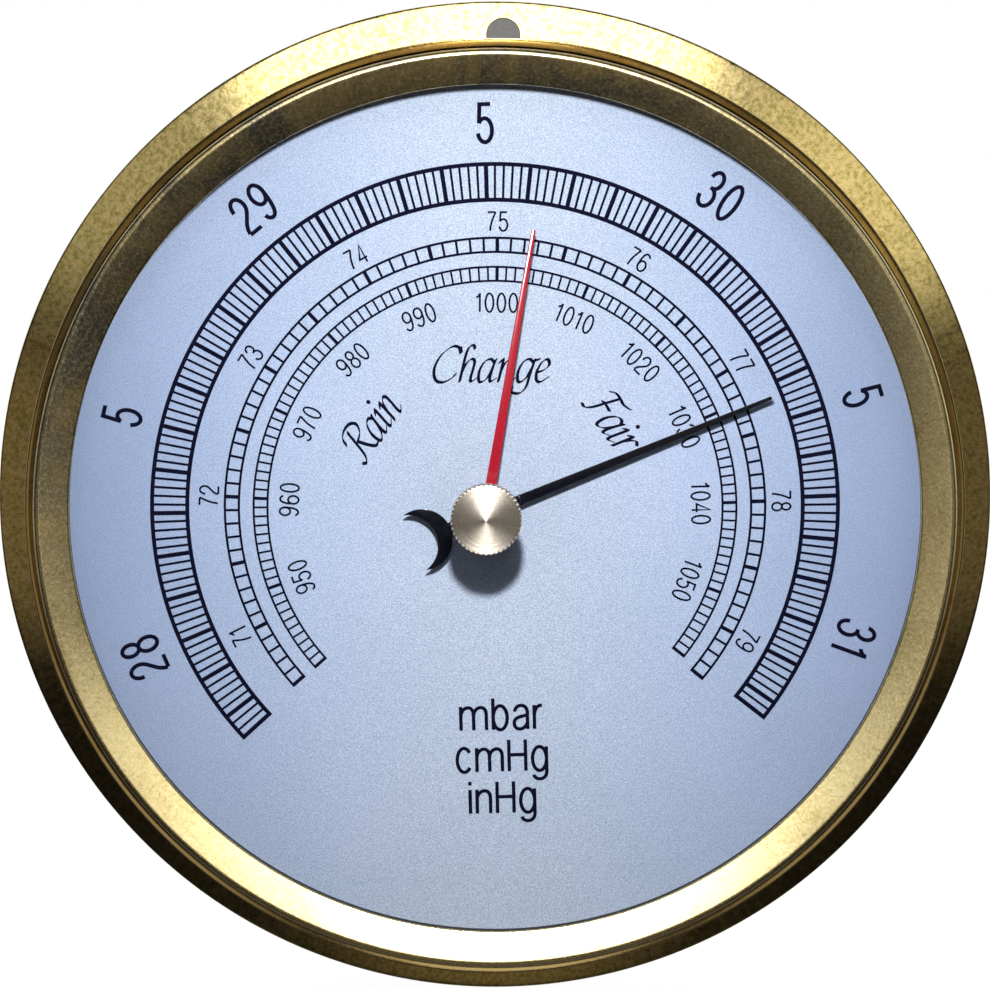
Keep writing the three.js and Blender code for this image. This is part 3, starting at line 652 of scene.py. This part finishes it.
# Digits in a unit box, as centre lines; x and y run from 0 to 1 across the digit's box.
BOWL_OF_SIX = arc(0.5, 0.285, 0.5, 0.285, 0, 360, 36)
SIX = [BOWL_OF_SIX, bezier((0.0, 0.285), (0.0, 0.80), (0.22, 1.0), (0.56, 1.0))
       + arc(0.56, 0.80, 0.40, 0.20, 84, 12, 8)]
DIGITS = {
    "0": [arc(0.5, 0.5, 0.5, 0.5, 0, 360, 44)],
    "1": [[(0.62, 0.0), (0.62, 1.0)],
          bezier((0.60, 0.97), (0.52, 0.86), (0.36, 0.80), (0.16, 0.79), 8)],
    "2": [arc(0.49, 0.735, 0.49, 0.265, 188, 0, 22)
          + bezier((0.98, 0.735), (0.98, 0.46), (0.06, 0.34), (0.02, 0.02))[1:],
          [(0.0, 0.0), (1.0, 0.0)]],
    "3": [arc(0.47, 0.765, 0.45, 0.235, 176, -84, 26) + [(0.36, 0.53)],
          [(0.36, 0.53)] + arc(0.49, 0.265, 0.51, 0.265, 86, -176, 28)],
    "4": [[(0.76, 0.0), (0.76, 1.0), (0.0, 0.27), (1.04, 0.27)]],
    "5": [[(0.92, 1.0), (0.14, 1.0), (0.07, 0.50)],
          [(0.07, 0.50)] + arc(0.48, 0.315, 0.52, 0.315, 132, -166, 28)],
    "6": SIX,
    "7": [[(0.0, 1.0), (1.0, 1.0)], bezier((1.0, 1.0), (0.62, 0.66), (0.36, 0.36), (0.34, 0.0))],
    "8": [arc(0.5, 0.765, 0.43, 0.235, 0, 360, 32), arc(0.5, 0.265, 0.5, 0.265, 0, 360, 32)],
    "9": [[(1 - x, 1 - y) for x, y in path] for path in SIX],
}


def number(text, height, width, stroke, gap):
    """The polygons of a number, centred on the origin and upright."""
    polygons = []
    narrow = {"1": 0.72}
    advance = [width * narrow.get(c, 1.0) + gap for c in text]
    left = -(sum(advance) - gap) / 2
    for character, step in zip(text, advance):
        shift = left - (width - (step - gap)) / 2
        for path in DIGITS[character]:
            line = [(shift + stroke / 2 + x * (width - stroke),
                     -height / 2 + stroke / 2 + y * (height - stroke)) for x, y in path]
            polygons += ribbon(line, stroke)
        left += step
    return polygons


def placed(polygons, radius, angle):
    """Polygons moved up to a radius, then turned clockwise round the dial's centre."""
    return [rotate_clockwise([(x, z + radius) for x, z in polygon], angle) for polygon in polygons]


def ring_line(radius, width, start, end):
    steps = max(8, round((end - start) / 1.2))
    angles = [start + (end - start) * k / steps for k in range(steps + 1)]

    def at(r, a):
        return (r * math.sin(math.radians(a)), r * math.cos(math.radians(a)))

    inner, outer = radius - width / 2, radius + width / 2
    return [[at(inner, a), at(outer, a), at(outer, b), at(inner, b)]
            for a, b in zip(angles, angles[1:])]


def tick(inner, outer, angle, width):
    return rotate_clockwise([(-width / 2, inner), (width / 2, inner), (width / 2, outer),
                             (-width / 2, outer)], angle)


def scale_band(material, name, inner, outer, line, angle_of, values, heavy_every, thin, thick):
    """Two circles with a tick for each value between them, heavy at the round values."""
    ends = (values[0], values[-1])
    start, end = angle_of(ends[0]), angle_of(ends[1])
    polygons = ring_line(inner, line, start, end) + ring_line(outer, line, start, end)
    for value in values:
        width = thick if value % heavy_every == 0 or value in ends else thin
        polygons.append(tick(inner - line / 2, outer + line / 2, angle_of(value), width))
    return ink(name, polygons, material)


def inch_angle(hundredths):
    return (hundredths / 100 - 29.5) * 74.4 - 1.5


def centimetre_angle(tenths):
    return (tenths / 10 - 75) * 29.3 + 0.5


def millibar_angle(millibars):
    return (millibars - 1000) * 2.2 + 0.5


# Sans letters in units of the capitals' height: (width, centre lines).
X_HEIGHT = 0.76
LETTER_GAP = 0.105
ARCH = [(0.0, 0.0), (0.0, X_HEIGHT)]
STEM = [(0.0, 0.0), (0.0, 1.0)]
BOWL = arc(0.22, X_HEIGHT / 2, 0.22, X_HEIGHT / 2, 0, 360, 36)


def arch_from(x, span):
    rise = bezier((x, 0.46), (x + 0.02, X_HEIGHT + 0.01), (x + span, X_HEIGHT + 0.07),
                  (x + span, 0.50), 12)
    return rise + [(x + span, 0.0)]


LETTERS = {
    "m": (0.80, [ARCH, arch_from(0.0, 0.40), arch_from(0.40, 0.40)]),
    "n": (0.42, [ARCH, arch_from(0.0, 0.42)]),
    "b": (0.44, [STEM, BOWL]),
    "a": (0.42, [bezier((0.02, 0.56), (0.04, 0.82), (0.42, 0.84), (0.42, 0.52)) + [(0.42, 0.0)],
                 bezier((0.42, 0.46), (0.30, 0.40), (0.0, 0.42), (0.0, 0.20), 10)
                 + bezier((0.0, 0.20), (0.0, -0.06), (0.34, -0.06), (0.42, 0.22), 10)[1:]]),
    "r": (0.25, [ARCH, bezier((0.0, 0.42), (0.02, 0.68), (0.12, 0.76), (0.25, 0.74), 8)]),
    "c": (0.40, [arc(0.22, X_HEIGHT / 2, 0.22, X_HEIGHT / 2, 38, 322, 32)]),
    "H": (0.52, [STEM, [(0.52, 0.0), (0.52, 1.0)], [(0.0, 0.52), (0.52, 0.52)]]),
    "g": (0.44, [BOWL, [(0.44, X_HEIGHT), (0.44, 0.0)]
                 + bezier((0.44, -0.02), (0.44, -0.34), (0.06, -0.32), (0.03, -0.13), 12)]),
    "i": (0.0, [ARCH, [(0.0, 0.90), (0.0, 1.02)]]),
}


def unit_word(text, cap, stroke):
    """A sans word, its baseline's centre on the origin; cap is the capitals' height."""
    polygons = []
    weight = stroke / cap
    total = sum(LETTERS[c][0] + weight for c in text) + LETTER_GAP * (len(text) - 1)
    left = -total / 2
    for character in text:
        width, paths = LETTERS[character]
        for path in paths:
            points = [((left + weight / 2 + x) * cap, y * cap) for x, y in path]
            polygons += ribbon(points, stroke)
        left += width + weight + LETTER_GAP
    return polygons


# Italic letters written with a broad pen, in units of the small letters' height:
# (advance, strokes). Strokes slant later.
ITALIC_ARCH = [(0.12, 0.40), (0.26, 0.84), (0.47, 1.04), (0.62, 0.93), (0.62, 0.60), (0.58, 0.18),
               (0.64, 0.0), (0.84, 0.14)]
ITALIC_STEM = [(0.0, 0.86), (0.10, 1.02), (0.15, 0.92), (0.11, 0.0)]
ITALIC_BOWL = [(0.64, 0.88), (0.46, 1.03), (0.20, 0.92), (0.03, 0.50), (0.08, 0.06), (0.24, -0.02),
               (0.46, 0.18), (0.62, 0.62)]
ITALIC = {
    "C": (1.26, [[(1.16, 1.30), (1.02, 1.56), (0.70, 1.60), (0.26, 1.20), (0.06, 0.62),
                  (0.20, 0.10), (0.56, -0.04), (0.94, 0.14), (1.10, 0.34)],
                 [(1.18, 1.34), (1.10, 1.58)]]),
    "h": (0.90, [[(0.52, 1.50), (0.44, 1.66), (0.26, 1.60), (0.15, 1.20), (0.10, 0.0)],
                 ITALIC_ARCH]),
    "a": (0.90, [ITALIC_BOWL,
                 [(0.70, 1.02), (0.62, 0.62), (0.58, 0.14), (0.66, 0.0), (0.86, 0.14)]]),
    "n": (0.92, [ITALIC_STEM, ITALIC_ARCH]),
    "g": (0.86, [ITALIC_BOWL, [(0.70, 1.02), (0.60, 0.30), (0.52, -0.28), (0.26, -0.54),
                               (-0.10, -0.48), (-0.12, -0.26)],
                 [(0.70, 0.96), (0.92, 1.02)]]),
    "e": (0.70, [[(0.05, 0.42), (0.34, 0.52), (0.56, 0.76), (0.44, 1.02), (0.20, 0.90),
                  (0.04, 0.46), (0.10, 0.08), (0.30, -0.02), (0.62, 0.20)]]),
    "R": (1.16, [[(0.34, 1.46), (0.26, 0.80), (0.16, 0.20), (-0.04, -0.06), (-0.24, 0.06)],
                 [(-0.16, 1.14), (-0.08, 1.44), (0.26, 1.62), (0.72, 1.60), (0.98, 1.34),
                  (0.80, 0.98), (0.34, 0.82)],
                 [(0.40, 0.82), (0.66, 0.36), (0.92, 0.04), (1.18, 0.06)]]),
    "i": (0.42, [[(0.0, 0.86), (0.10, 1.02), (0.15, 0.92), (0.10, 0.16), (0.18, 0.0),
                  (0.38, 0.14)],
                 [(0.20, 1.46)]]),
    "F": (1.00, [[(0.46, 1.50), (0.36, 0.90), (0.26, 0.28), (0.10, -0.02), (-0.14, 0.0)],
                 [(-0.06, 1.34), (0.10, 1.52), (0.46, 1.54), (0.80, 1.50), (1.16, 1.62)],
                 [(0.20, 0.82), (0.50, 0.84), (0.80, 0.80)]]),
    "r": (0.66, [ITALIC_STEM, [(0.12, 0.46), (0.28, 0.88), (0.44, 1.02), (0.62, 0.92)]]),
}
ITALIC_SLANT = 0.20
PEN_THIN = 0.14
PEN_ANGLE = 38.0


def italic_word(text, x_height, target_width, pen):
    """A pen-written word, its baseline's centre on the origin."""
    strokes = []
    left = 0.0
    for character in text:
        advance, paths = ITALIC[character]
        for path in paths:
            smooth = spline(path) if len(path) > 1 else path
            strokes.append([((left + x + y * ITALIC_SLANT) * x_height, y * x_height)
                            for x, y in smooth])
        left += advance
    xs = [x for stroke in strokes for x, _ in stroke]
    stretch = target_width / (max(xs) - min(xs) + pen * 0.7)
    middle = (max(xs) + min(xs)) / 2
    polygons = []
    for stroke in strokes:
        fitted = [((x - middle) * stretch, z) for x, z in stroke]
        if len(fitted) == 1:
            polygons.append(arc(*fitted[0], pen * 0.62, pen * 0.68, 0, 345, 23))
        else:
            polygons += nib_stroke(fitted, pen, PEN_THIN, PEN_ANGLE)
    return polygons


# Scales: name, inner and outer circle, line width, angle of a value, values, step between
# heavy ticks, thin and heavy tick widths.
SCALES = (
    ("scale_inches", 46.66, 52.0, 0.62, inch_angle, range(2774, 3126, 2), 10, 0.36, 0.66),
    ("scale_centimetres", 38.84, 40.96, 0.36, centimetre_angle, range(705, 795), 5, 0.36, 0.58),
    ("scale_millibars", 34.5, 36.6, 0.32, millibar_angle, range(940, 1059), 10, 0.30, 0.50),
)
# Numbers: name, digit height, width, stroke and gap, radius, angle of a value, values and texts.
NUMBERS = (
    ("numbers_inches", 6.3, 2.7, 0.62, 0.75, 58.1, inch_angle,
     [(value, "5" if value % 100 else str(value // 100)) for value in range(2800, 3101, 50)]),
    ("numbers_centimetres", 3.1, 1.5, 0.30, 0.28, 43.4, centimetre_angle,
     [(value * 10, str(value)) for value in range(71, 80)]),
    ("numbers_millibars", 3.1, 1.5, 0.30, 0.30, 31.2, millibar_angle,
     [(value, str(value)) for value in range(950, 1051, 10)]),
)
# Units: text, centre and baseline.
UNITS = (("mbar", 1.05, -33.95), ("cmHg", 1.1, -40.4), ("inHg", 1.2, -46.85))
UNIT_TURN = -1.5
# Words: name, text, width, centre, turn clockwise, baseline below the centre.
WORDS = (
    ("word_change", "Change", 17.8, (-0.5, 19.3), 0.0, 0.0),
    ("word_rain", "Rain", 10.8, (-18.5, 12.2), -55.0, -2.0),
    ("word_fair", "Fair", 10.4, (17.7, 13.1), 55.0, -2.0),
)


def print_dial(material):
    for scale in SCALES:
        scale_band(material, *scale)
    for name, height, width, stroke, gap, radius, angle_of, labels in NUMBERS:
        polygons = []
        for value, text in labels:
            polygons += placed(number(text, height, width, stroke, gap), radius, angle_of(value))
        ink(name, polygons, material)
    for text, *centre in UNITS:
        ink("unit_" + text, [rotate_clockwise(p, UNIT_TURN, centre)
                             for p in unit_word(text, 4.86, 0.54)], material)
    for name, text, width, centre, turn, baseline in WORDS:
        ink(name, [rotate_clockwise([(x, z + baseline) for x, z in p], turn, centre)
                   for p in italic_word(text, 3.3, width, 0.50)], material)


# ---- Case, bezel and screws ----

DRUM_SCREW_ANGLES = (60.0, 180.0, 300.0)
DRUM_SCREW_FORWARD = 14.6
MOVEMENT_SCREWS = ((0.0, 17.0), (-27.0, -24.0), (27.0, -24.0))
HANGING_HOLE_CIRCLE = 71.5
HANGING_HOLE_ANGLES = (1.0, 181.0)
HANGING_HOLE_RADIUS = 2.65
SHELL = [
    (76.6, 0.0), (76.6, 4.0), (76.6, 9.52), (76.57, 9.67), (76.45, 9.775), (75.2, 10.05),
    (74.4, 10.226), (73.6, 10.402), (72.9, 10.556), (72.2, 10.71), (71.5, 10.864),
    (70.8, 11.018), (70.2, 11.15), (69.0, 11.7), (68.5, 12.6), (68.5, 13.3), (68.5, 13.9),
    (68.5, 14.6), (68.5, 15.3), (68.5, 15.9), (68.5, 22.7), (67.3, 22.7), (67.3, 15.9),
    (67.3, 13.3), (67.3, 12.1), (68.0, 10.9), (69.5, 10.1), (71.5, 9.65), (74.4, 9.0),
    (75.1, 8.7), (75.4, 8.2), (75.4, 0.0),
]
COLLAR = [
    (66.2, 22.7), (70.6, 22.7), (70.6, 24.58), (70.55, 24.69),
    (70.45, 24.72), (69.35, 24.46), (69.25, 24.1), (69.2, 23.8), (66.2, 23.8),
]
# A thin grey ring under the flange: painted shade behind the hanging holes.
HOLE_SHADE_PROFILE = [(69.3, 9.4), (74.4, 8.35), (74.4, 8.95), (71.5, 9.6), (69.3, 10.05)]
BEZEL = [
    (63.7, 26.0), (63.8, 26.35), (68.2, 27.98), (68.72, 27.87), (69.0, 27.5), (69.05, 27.0),
    (69.05, 24.5), (68.9, 24.3), (68.9, 23.95), (66.1, 23.95), (66.1, 22.9), (65.5, 22.9),
    (65.5, 26.0),
]
PAN = [
    (0.0, 0.0), (66.5, 0.0), (67.1, 0.6), (67.1, 16.6), (65.9, 16.6), (65.9, 1.6), (0.0, 1.6),
]
# Square-sectioned rings: piece, CAD node, slot, inner and outer radius, back and front.
INNER_RINGS = (
    ("dial", "dial_plate", "dial_aluminium", 2.2, 67.0, 18.5, 19.5),
    ("dial_clamp", "dial_spacer_ring", "aged_brass", 65.9, 67.0, 19.5, 22.7),
    ("gasket", "glass_gasket", "gasket_rubber", 64.0, 65.3, 23.3, 24.5),
)


def screw_direction(angle):
    return Vector((math.sin(math.radians(angle)), 0.0, math.cos(math.radians(angle))))


def drum_screw_holes():
    middle = Vector((0.0, -DRUM_SCREW_FORWARD, 0.0))
    return [cylinder_between(middle + away * 64.0, middle + away * 70.5, 1.12, 32)
            for away in map(screw_direction, DRUM_SCREW_ANGLES)]


def case_shell(material):
    holes = []
    for angle in HANGING_HOLE_ANGLES:
        away = screw_direction(angle) * HANGING_HOLE_CIRCLE
        holes.append(cylinder_between(away + Vector((0, -8.0, 0)), away + Vector((0, -13.5, 0)),
                                      HANGING_HOLE_RADIUS, 64))
    holes += drum_screw_holes()
    solid = with_cuts(lathe(softened(SHELL, 0.5, 4), 288), holes)
    shell = finish_piece("shell", solid, material, "case", 38.0)
    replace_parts(shell, "case_shell")


def inner_rings(finishes):
    """Round versions of the dial, the ring that clamps it and the glass's gasket."""
    for name, node, slot_name, inner, outer, back, front in INNER_RINGS:
        profile = [(inner, back), (outer, back), (outer, front), (inner, front)]
        ring = finish_piece(name, lathe(softened(profile, 0.05, 2), 256), finishes[slot_name],
                            "case")
        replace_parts(ring, node)


def rear_pan(material):
    cutters = []
    for place in MOVEMENT_SCREWS:
        cone = [(0.0, -1.0), (4.0, -1.0), (2.75, 0.0), (1.4, 1.35), (1.4, 3.0), (0.0, 3.0)]
        cutters.append(lathe(cone, 64, place))
    cutters.append(lathe([(0.0, -1.0), (2.7, -1.0), (2.7, 3.0), (0.0, 3.0)], 64, (0.0, -20.0)))
    cutters.append(lathe([(0.0, -1.0), (1.5, -1.0), (1.5, 3.0), (0.0, 3.0)], 48, (0.0, 40.0)))
    cutters += drum_screw_holes()
    for cutter in cutters:
        bmesh.ops.recalc_face_normals(cutter, faces=cutter.faces)
    body = lathe(softened(PAN, 0.25, 3), 256)
    bmesh.ops.recalc_face_normals(body, faces=body.faces)
    pan = finish_piece("rear_pan", with_cuts(body, cutters), material, "case", 38.0)
    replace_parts(pan, "back_pan")


def slotted_screw(profile, edge, segments, slot):
    bm = lathe(softened(profile, edge, 3), segments)
    bmesh.ops.recalc_face_normals(bm, faces=bm.faces)
    return with_cuts(bm, [slot])


def case_screws(material):
    """Cheese-head screws standing out of the drum's side."""
    profile = [(0.0, 65.3), (1.0, 65.3), (1.0, 68.65), (1.7, 68.65), (1.7, 69.45), (1.4, 69.75),
               (0.0, 69.75)]
    for index, angle in enumerate(DRUM_SCREW_ANGLES):
        slotted = slotted_screw(profile, 0.12, 48, box_cutter((-3, -71, -0.25), (3, -69.25, 0.25)))
        away, side = screw_direction(angle), screw_direction(angle + 90.0)
        for v in slotted.verts:
            local = v.co.copy()
            v.co = (away * -local.y + side * local.x
                    + Vector((0.0, local.z - DRUM_SCREW_FORWARD * MM, 0.0)))
        screw = finish_piece(f"drum_screw_{index + 1}", slotted, material, "case",
                             40.0)
        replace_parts(screw, f"case_screw_{index + 1}")


def rear_screws(material):
    """Countersunk slotted screws in the back of the pan."""
    profile = [(0.0, 0.1), (2.45, 0.1), (2.6, 0.22), (1.3, 1.45), (1.3, 3.0), (0.0, 3.0)]
    for index, (x, z) in enumerate(MOVEMENT_SCREWS):
        bm = slotted_screw(profile, 0.08, 64,
                           box_cutter((-3, -0.6, -0.3), (3, 1, 0.3), 25.0 + 50.0 * index))
        bmesh.ops.translate(bm, verts=bm.verts, vec=(x * MM, 0.0, z * MM))
        screw = finish_piece(f"pan_screw_{index + 1}", bm, material, "case", 40.0)
        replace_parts(screw, f"movement_screw_{index + 1}")


# ---- Hands and knob ----

HAND_ANGLE = 67.8
HAND_LENGTH = 45.0
HAND_LEVELS = (21.4, 21.8)  # back and front of the blade
MARKER_ANGLE = 9.5
MARKER_LENGTH = 42.9
MARKER_LEVELS = (23.7, 24.05)
KNURLS = 44
CONE_RADIUS = 5.08
CONE_BACK = 35.12
CONE_TIP = 37.5
CONE_STEPS = 24
CONE_GROOVES = (4.55, 3.9)


def hand_outline(length, half_at_hub, half_at_tip, hub, tail):
    """A tapering hand pointing up, from its tip down the right side, round the hub or tail."""
    waist = math.sqrt(hub ** 2 - half_at_hub ** 2)
    right = arc(0.0, length - half_at_tip, half_at_tip, half_at_tip, 90, 0, 8)
    start = math.degrees(math.atan2(waist, half_at_hub))
    if tail:
        neck = tail["neck"]
        stop = -math.degrees(math.atan2(math.sqrt(hub ** 2 - neck ** 2), neck))
        right += arc(0.0, 0.0, hub, hub, start, stop, 30)
        right += tail["right_side"]
    else:
        right += arc(0.0, 0.0, hub, hub, start, -90, 40)
    left = [(-x, z) for x, z in reversed(right) if x > 1e-6]
    return right + left


def crescent():
    """The right half of the crescent tail, from the neck round to the hollow's middle."""
    radius, centre, hollow, neck = 4.65, -11.9, -14.3, 0.9
    horn_z = (centre + hollow) / 2
    horn_x = math.sqrt(radius ** 2 - (horn_z - centre) ** 2)
    top = math.degrees(math.asin(math.sqrt(radius ** 2 - neck ** 2) / radius))
    horn = math.degrees(math.atan2(horn_z - centre, horn_x))
    back = math.degrees(math.atan2(horn_z - hollow, horn_x))
    outer = arc(0.0, centre, radius, radius, top, horn, 36)
    inner = arc(0.0, hollow, radius, radius, back, 90, 32)[1:]
    return {"neck": neck, "right_side": outer + inner}


def hands(black, red):
    outline = rotate_clockwise(hand_outline(HAND_LENGTH, 0.8, 0.28, 2.4, crescent()), HAND_ANGLE)
    pointer = finish_piece("black_hand", plate(outline, *HAND_LEVELS, 0.10), black, "pointer",
                           30.0)
    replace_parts(pointer, "indicating_hand")
    dome = [(0.0, 21.85), (1.2, 21.85), (1.2, 22.1), (0.9, 22.32), (0.45, 22.4), (0.0, 22.42)]
    cap = finish_piece("black_hand_cap", lathe(softened(dome, 0.15, 3), 64), black, "pointer")
    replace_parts(cap, "hand_cap")
    outline = rotate_clockwise(hand_outline(MARKER_LENGTH, 0.85, 0.33, 2.1, None), MARKER_ANGLE,
                               (SET_X, 0.0))
    marker = finish_piece("red_hand", plate(outline, *MARKER_LEVELS, 0.09), red, "set_pointer",
                          30.0)
    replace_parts(marker, "set_hand")


def knob_profile():
    """Waisted stem, knurled rim and a shallow cone with two turned grooves."""
    cone = []
    for k in range(CONE_STEPS + 1):
        inward = k / CONE_STEPS
        radius = CONE_RADIUS * (1 - inward)
        forward = CONE_BACK + (CONE_TIP - CONE_BACK) * inward ** 1.04
        cone.append((radius, forward))
        if any(abs(radius - groove) < 0.11 for groove in CONE_GROOVES):
            cone.append((radius - 0.05, forward - 0.012))
    return [(0.0, 32.0), (1.03, 32.0), (1.03, 27.4), (2.7, 27.4), (2.45, 28.1), (2.3, 29.0),
            (2.45, 30.0), (2.9, 30.9), (4.9, 32.65), (5.2, 32.85), (5.3, 33.1), (5.3, 34.85),
            (5.26, 35.0), (5.16, 35.1)] + cone


def knurled(radius, turn):
    """V-shaped knurls cut into the rim, fading out on its chamfers."""
    depth = 0.18 * min(1.0, max(0.0, (radius - 5.05) / 0.2))
    phase = (turn * KNURLS / (2 * math.pi)) % 1.0
    return radius - depth * (1 - abs(2 * phase - 1)) ** 1.4


def knob(material):
    bm = lathe(knob_profile(), KNURLS * 10, (SET_X, 0.0), knurled)
    piece = finish_piece("knob", bm, material, "set_pointer", 50.0)
    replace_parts(piece, "set_knob")
    ring = [(1.08, 24.5), (2.4, 24.5), (2.4, 26.0), (3.2, 26.0), (3.2, 26.45), (3.05, 26.6),
            (1.08, 26.6)]
    bushing = finish_piece("bushing", lathe(softened(ring, 0.06, 2), 96, (SET_X, 0.0)), material,
                           "case")
    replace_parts(bushing, "glass_bushing")


# ---- Carried-over CAD nodes ----

def dress_nodes(finishes):
    """Gives every shown CAD node the finish that its record slot names."""
    for part in frame["record"]["subparts"]:
        node = NODES[part["node"]]
        if node.hide_render:
            continue
        material = finishes[part["material_slot"]]
        if node.material_slots:
            for place in node.material_slots:
                place.link = "OBJECT"
                place.material = material
        else:
            node.data.materials.append(material)


# ---- Stage, light and camera ----

def floor():
    finish = Finish("floor", IOR=1.3, Roughness=0.9, Emission_Strength=0.99)
    mottle = finish.noise(30.0, 3.0, 0.6)
    tone = finish.ramp(mottle, [(0.3, 0.98), (0.8, 1.0)])
    finish.wear(Base_Color=finish.mix(0.92, tone, (0.0, 0.0, 0.0)), Emission_Color=tone)
    bm = bmesh.new()
    bmesh.ops.create_grid(bm, x_segments=4, y_segments=4, size=0.9)
    plane = loose_object(bm, "floor")
    plane.data.materials.append(finish.material)
    plane.location = (0.0, 0.0, CAD_BOX[0].z - 0.0001)
    plane.visible_diffuse = False
    plane.visible_glossy = False


# Soft cards that metal mirrors: azimuth to the right, elevation, outer and inner angular
# radius in degrees, and brightness.
CARDS = (
    (0.0, 17.0, 8.0, 4.0, (0.75, 0.72, 0.60)),
    (-14.0, 5.0, 9.0, 3.0, (0.36, 0.33, 0.26)),
    (14.0, 5.0, 9.0, 3.0, (0.36, 0.33, 0.26)),
    (0.0, -29.0, 14.0, 6.0, (0.20, 0.17, 0.12)),
    (-21.0, -6.0, 8.0, 4.0, (0.20, 0.17, 0.12)),
    (21.0, -6.0, 8.0, 4.0, (0.24, 0.20, 0.14)),
    (-33.0, -5.0, 12.0, 5.0, (0.16, 0.14, 0.12)),
    (33.0, -5.0, 12.0, 5.0, (0.12, 0.105, 0.09)),
    (-27.0, 16.0, 12.0, 4.0, (0.40, 0.40, 0.38)),
    (27.0, 16.0, 12.0, 4.0, (0.90, 0.90, 0.85)),
    (-13.0, 24.0, 7.0, 3.0, (3.6, 3.7, 4.2)),
    (0.0, 27.5, 9.0, 4.0, (4.2, 4.3, 4.6)),
    (10.0, 25.5, 7.5, 3.0, (3.6, 3.7, 4.2)),
)


# What metal mirrors of the room ahead, from straight down at 0 to straight up at 1.
ROOM = [
    (0.0, (0.14, 0.13, 0.12)), (0.12, (0.05, 0.05, 0.05)), (0.20, (0.010, 0.010, 0.012)),
    (0.30, (0.008, 0.008, 0.011)), (0.46, (0.012, 0.011, 0.010)), (0.82, (0.012, 0.012, 0.012)),
    (0.93, (0.05, 0.05, 0.05)), (1.0, (0.12, 0.12, 0.12)),
]
KEY_PLACE = (0.0, -0.2035, 0.0845)
KEY_POWER = 2.45
KEY_SIZE = 0.007
CAMERA_PLACE = (0.0, -0.5166, 0.0536)
CAMERA_TILT = 84.1  # degrees up from straight down
CAMERA_LENS = 119.9


def world():
    """White for the camera; metal mirrors a window above eye level in a dark room."""
    sky = bpy.data.worlds.new("studio")
    bpy.context.scene.world = sky
    sky.use_nodes = True
    sky.cycles.sampling_method = "NONE"
    graph = Graph(sky.node_tree)
    direction = graph.add("ShaderNodeTexCoord").outputs["Generated"]
    axes = graph.add("ShaderNodeSeparateXYZ", Vector=direction).outputs
    ray = graph.add("ShaderNodeLightPath").outputs
    room = graph.ramp(graph.span(axes["Z"], -1.0, 1.0, "LINEAR"), ROOM)
    sides = graph.span(graph.math("ABSOLUTE", axes["X"]), 0.86, 0.98)
    ahead = graph.mix(sides, room, (0.18, 0.17, 0.16))
    for azimuth, elevation, outer, inner, colour in CARDS:
        across, up = math.radians(azimuth), math.radians(elevation)
        toward = graph.add("ShaderNodeVectorMath", {"operation": "DOT_PRODUCT"})
        graph.plug(toward.inputs[0], direction)
        graph.plug(toward.inputs[1], (math.sin(across) * math.cos(up),
                                      -math.cos(across) * math.cos(up), math.sin(up)))
        inside = graph.span(toward.outputs["Value"], math.cos(math.radians(outer)),
                            math.cos(math.radians(inner)))
        ahead = graph.mix(inside, ahead, colour)
    low_to_high = graph.span(axes["Z"], -0.35, 0.10, "LINEAR")
    rear = graph.mix(low_to_high, (0.08, 0.08, 0.09), (0.70, 0.72, 0.75))
    behind = graph.span(axes["Y"], -0.10, 0.35, "LINEAR")
    mirrored = graph.mix(behind, ahead, rear)
    fill = graph.mix(behind, (0.010, 0.011, 0.015), (0.50, 0.52, 0.55))
    unseen = graph.mix(ray["Is Glossy Ray"], fill, mirrored)
    colour = graph.mix(ray["Is Camera Ray"], unseen, (1.0, 1.0, 1.0))
    graph.plug(graph.tree.nodes["Background"].inputs["Color"], colour)


def key_light():
    lamp = bpy.data.lights.new("key", "POINT")
    lamp.energy = KEY_POWER
    lamp.shadow_soft_size = KEY_SIZE
    lamp.color = (1.0, 0.985, 0.96)
    key = bpy.data.objects.new("key", lamp)
    key.location = KEY_PLACE
    key.visible_camera = False
    bpy.context.scene.collection.objects.link(key)


def camera():
    lens = bpy.data.cameras.new("camera")
    lens.lens = CAMERA_LENS
    lens.sensor_width = 36.0
    lens.clip_start = 0.01
    eye = bpy.data.objects.new("camera", lens)
    eye.location = CAMERA_PLACE
    eye.rotation_euler = (math.radians(CAMERA_TILT), 0.0, 0.0)
    bpy.context.scene.collection.objects.link(eye)
    bpy.context.scene.camera = eye


def build():
    finishes = {
        "polished_brass": polished_brass(), "satin_brass": satin_brass(),
        "aged_brass": old_brass(), "movement_brass": movement_brass(),
        "bright_steel": steel("bright_steel", (0.60, 0.61, 0.64), 0.16),
        "capsule_metal": steel("capsule_metal", (0.66, 0.67, 0.68), 0.26),
        "dial_aluminium": dial_aluminium(), "clear_glass": clear_glass(),
        "gasket_rubber": rubber(),
        "black_paint": paint("black_paint", (0.003, 0.003, 0.006), (0.007, 0.007, 0.013), 0.06),
        "red_paint": paint("red_paint", (0.40, 0.006, 0.022), (0.30, 0.004, 0.015), 0.10),
    }
    case_shell(finishes["polished_brass"])
    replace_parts(finish_piece("collar", lathe(softened(COLLAR, 0.12, 3), 288), collar_brass(),
                             "case"), "front_collar")
    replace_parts(finish_piece("bezel", lathe(softened(BEZEL, 0.3, 4), 288), finishes["satin_brass"],
                             "case"), "bezel_ring")
    # Painted shade: a grey ring behind the hanging holes.
    finish_piece("hole_shade_ring", lathe(HOLE_SHADE_PROFILE, 192), felt(), "case")
    rear_pan(finishes["aged_brass"])
    inner_rings(finishes)
    case_screws(finishes["polished_brass"])
    rear_screws(finishes["bright_steel"])
    hands(finishes["black_paint"], finishes["red_paint"])
    knob(knob_brass())
    dress_nodes(finishes)
    print_dial(dial_ink())
    floor()
    world()
    key_light()
    camera()
    bpy.context.scene.view_settings.view_transform = "Standard"


build()
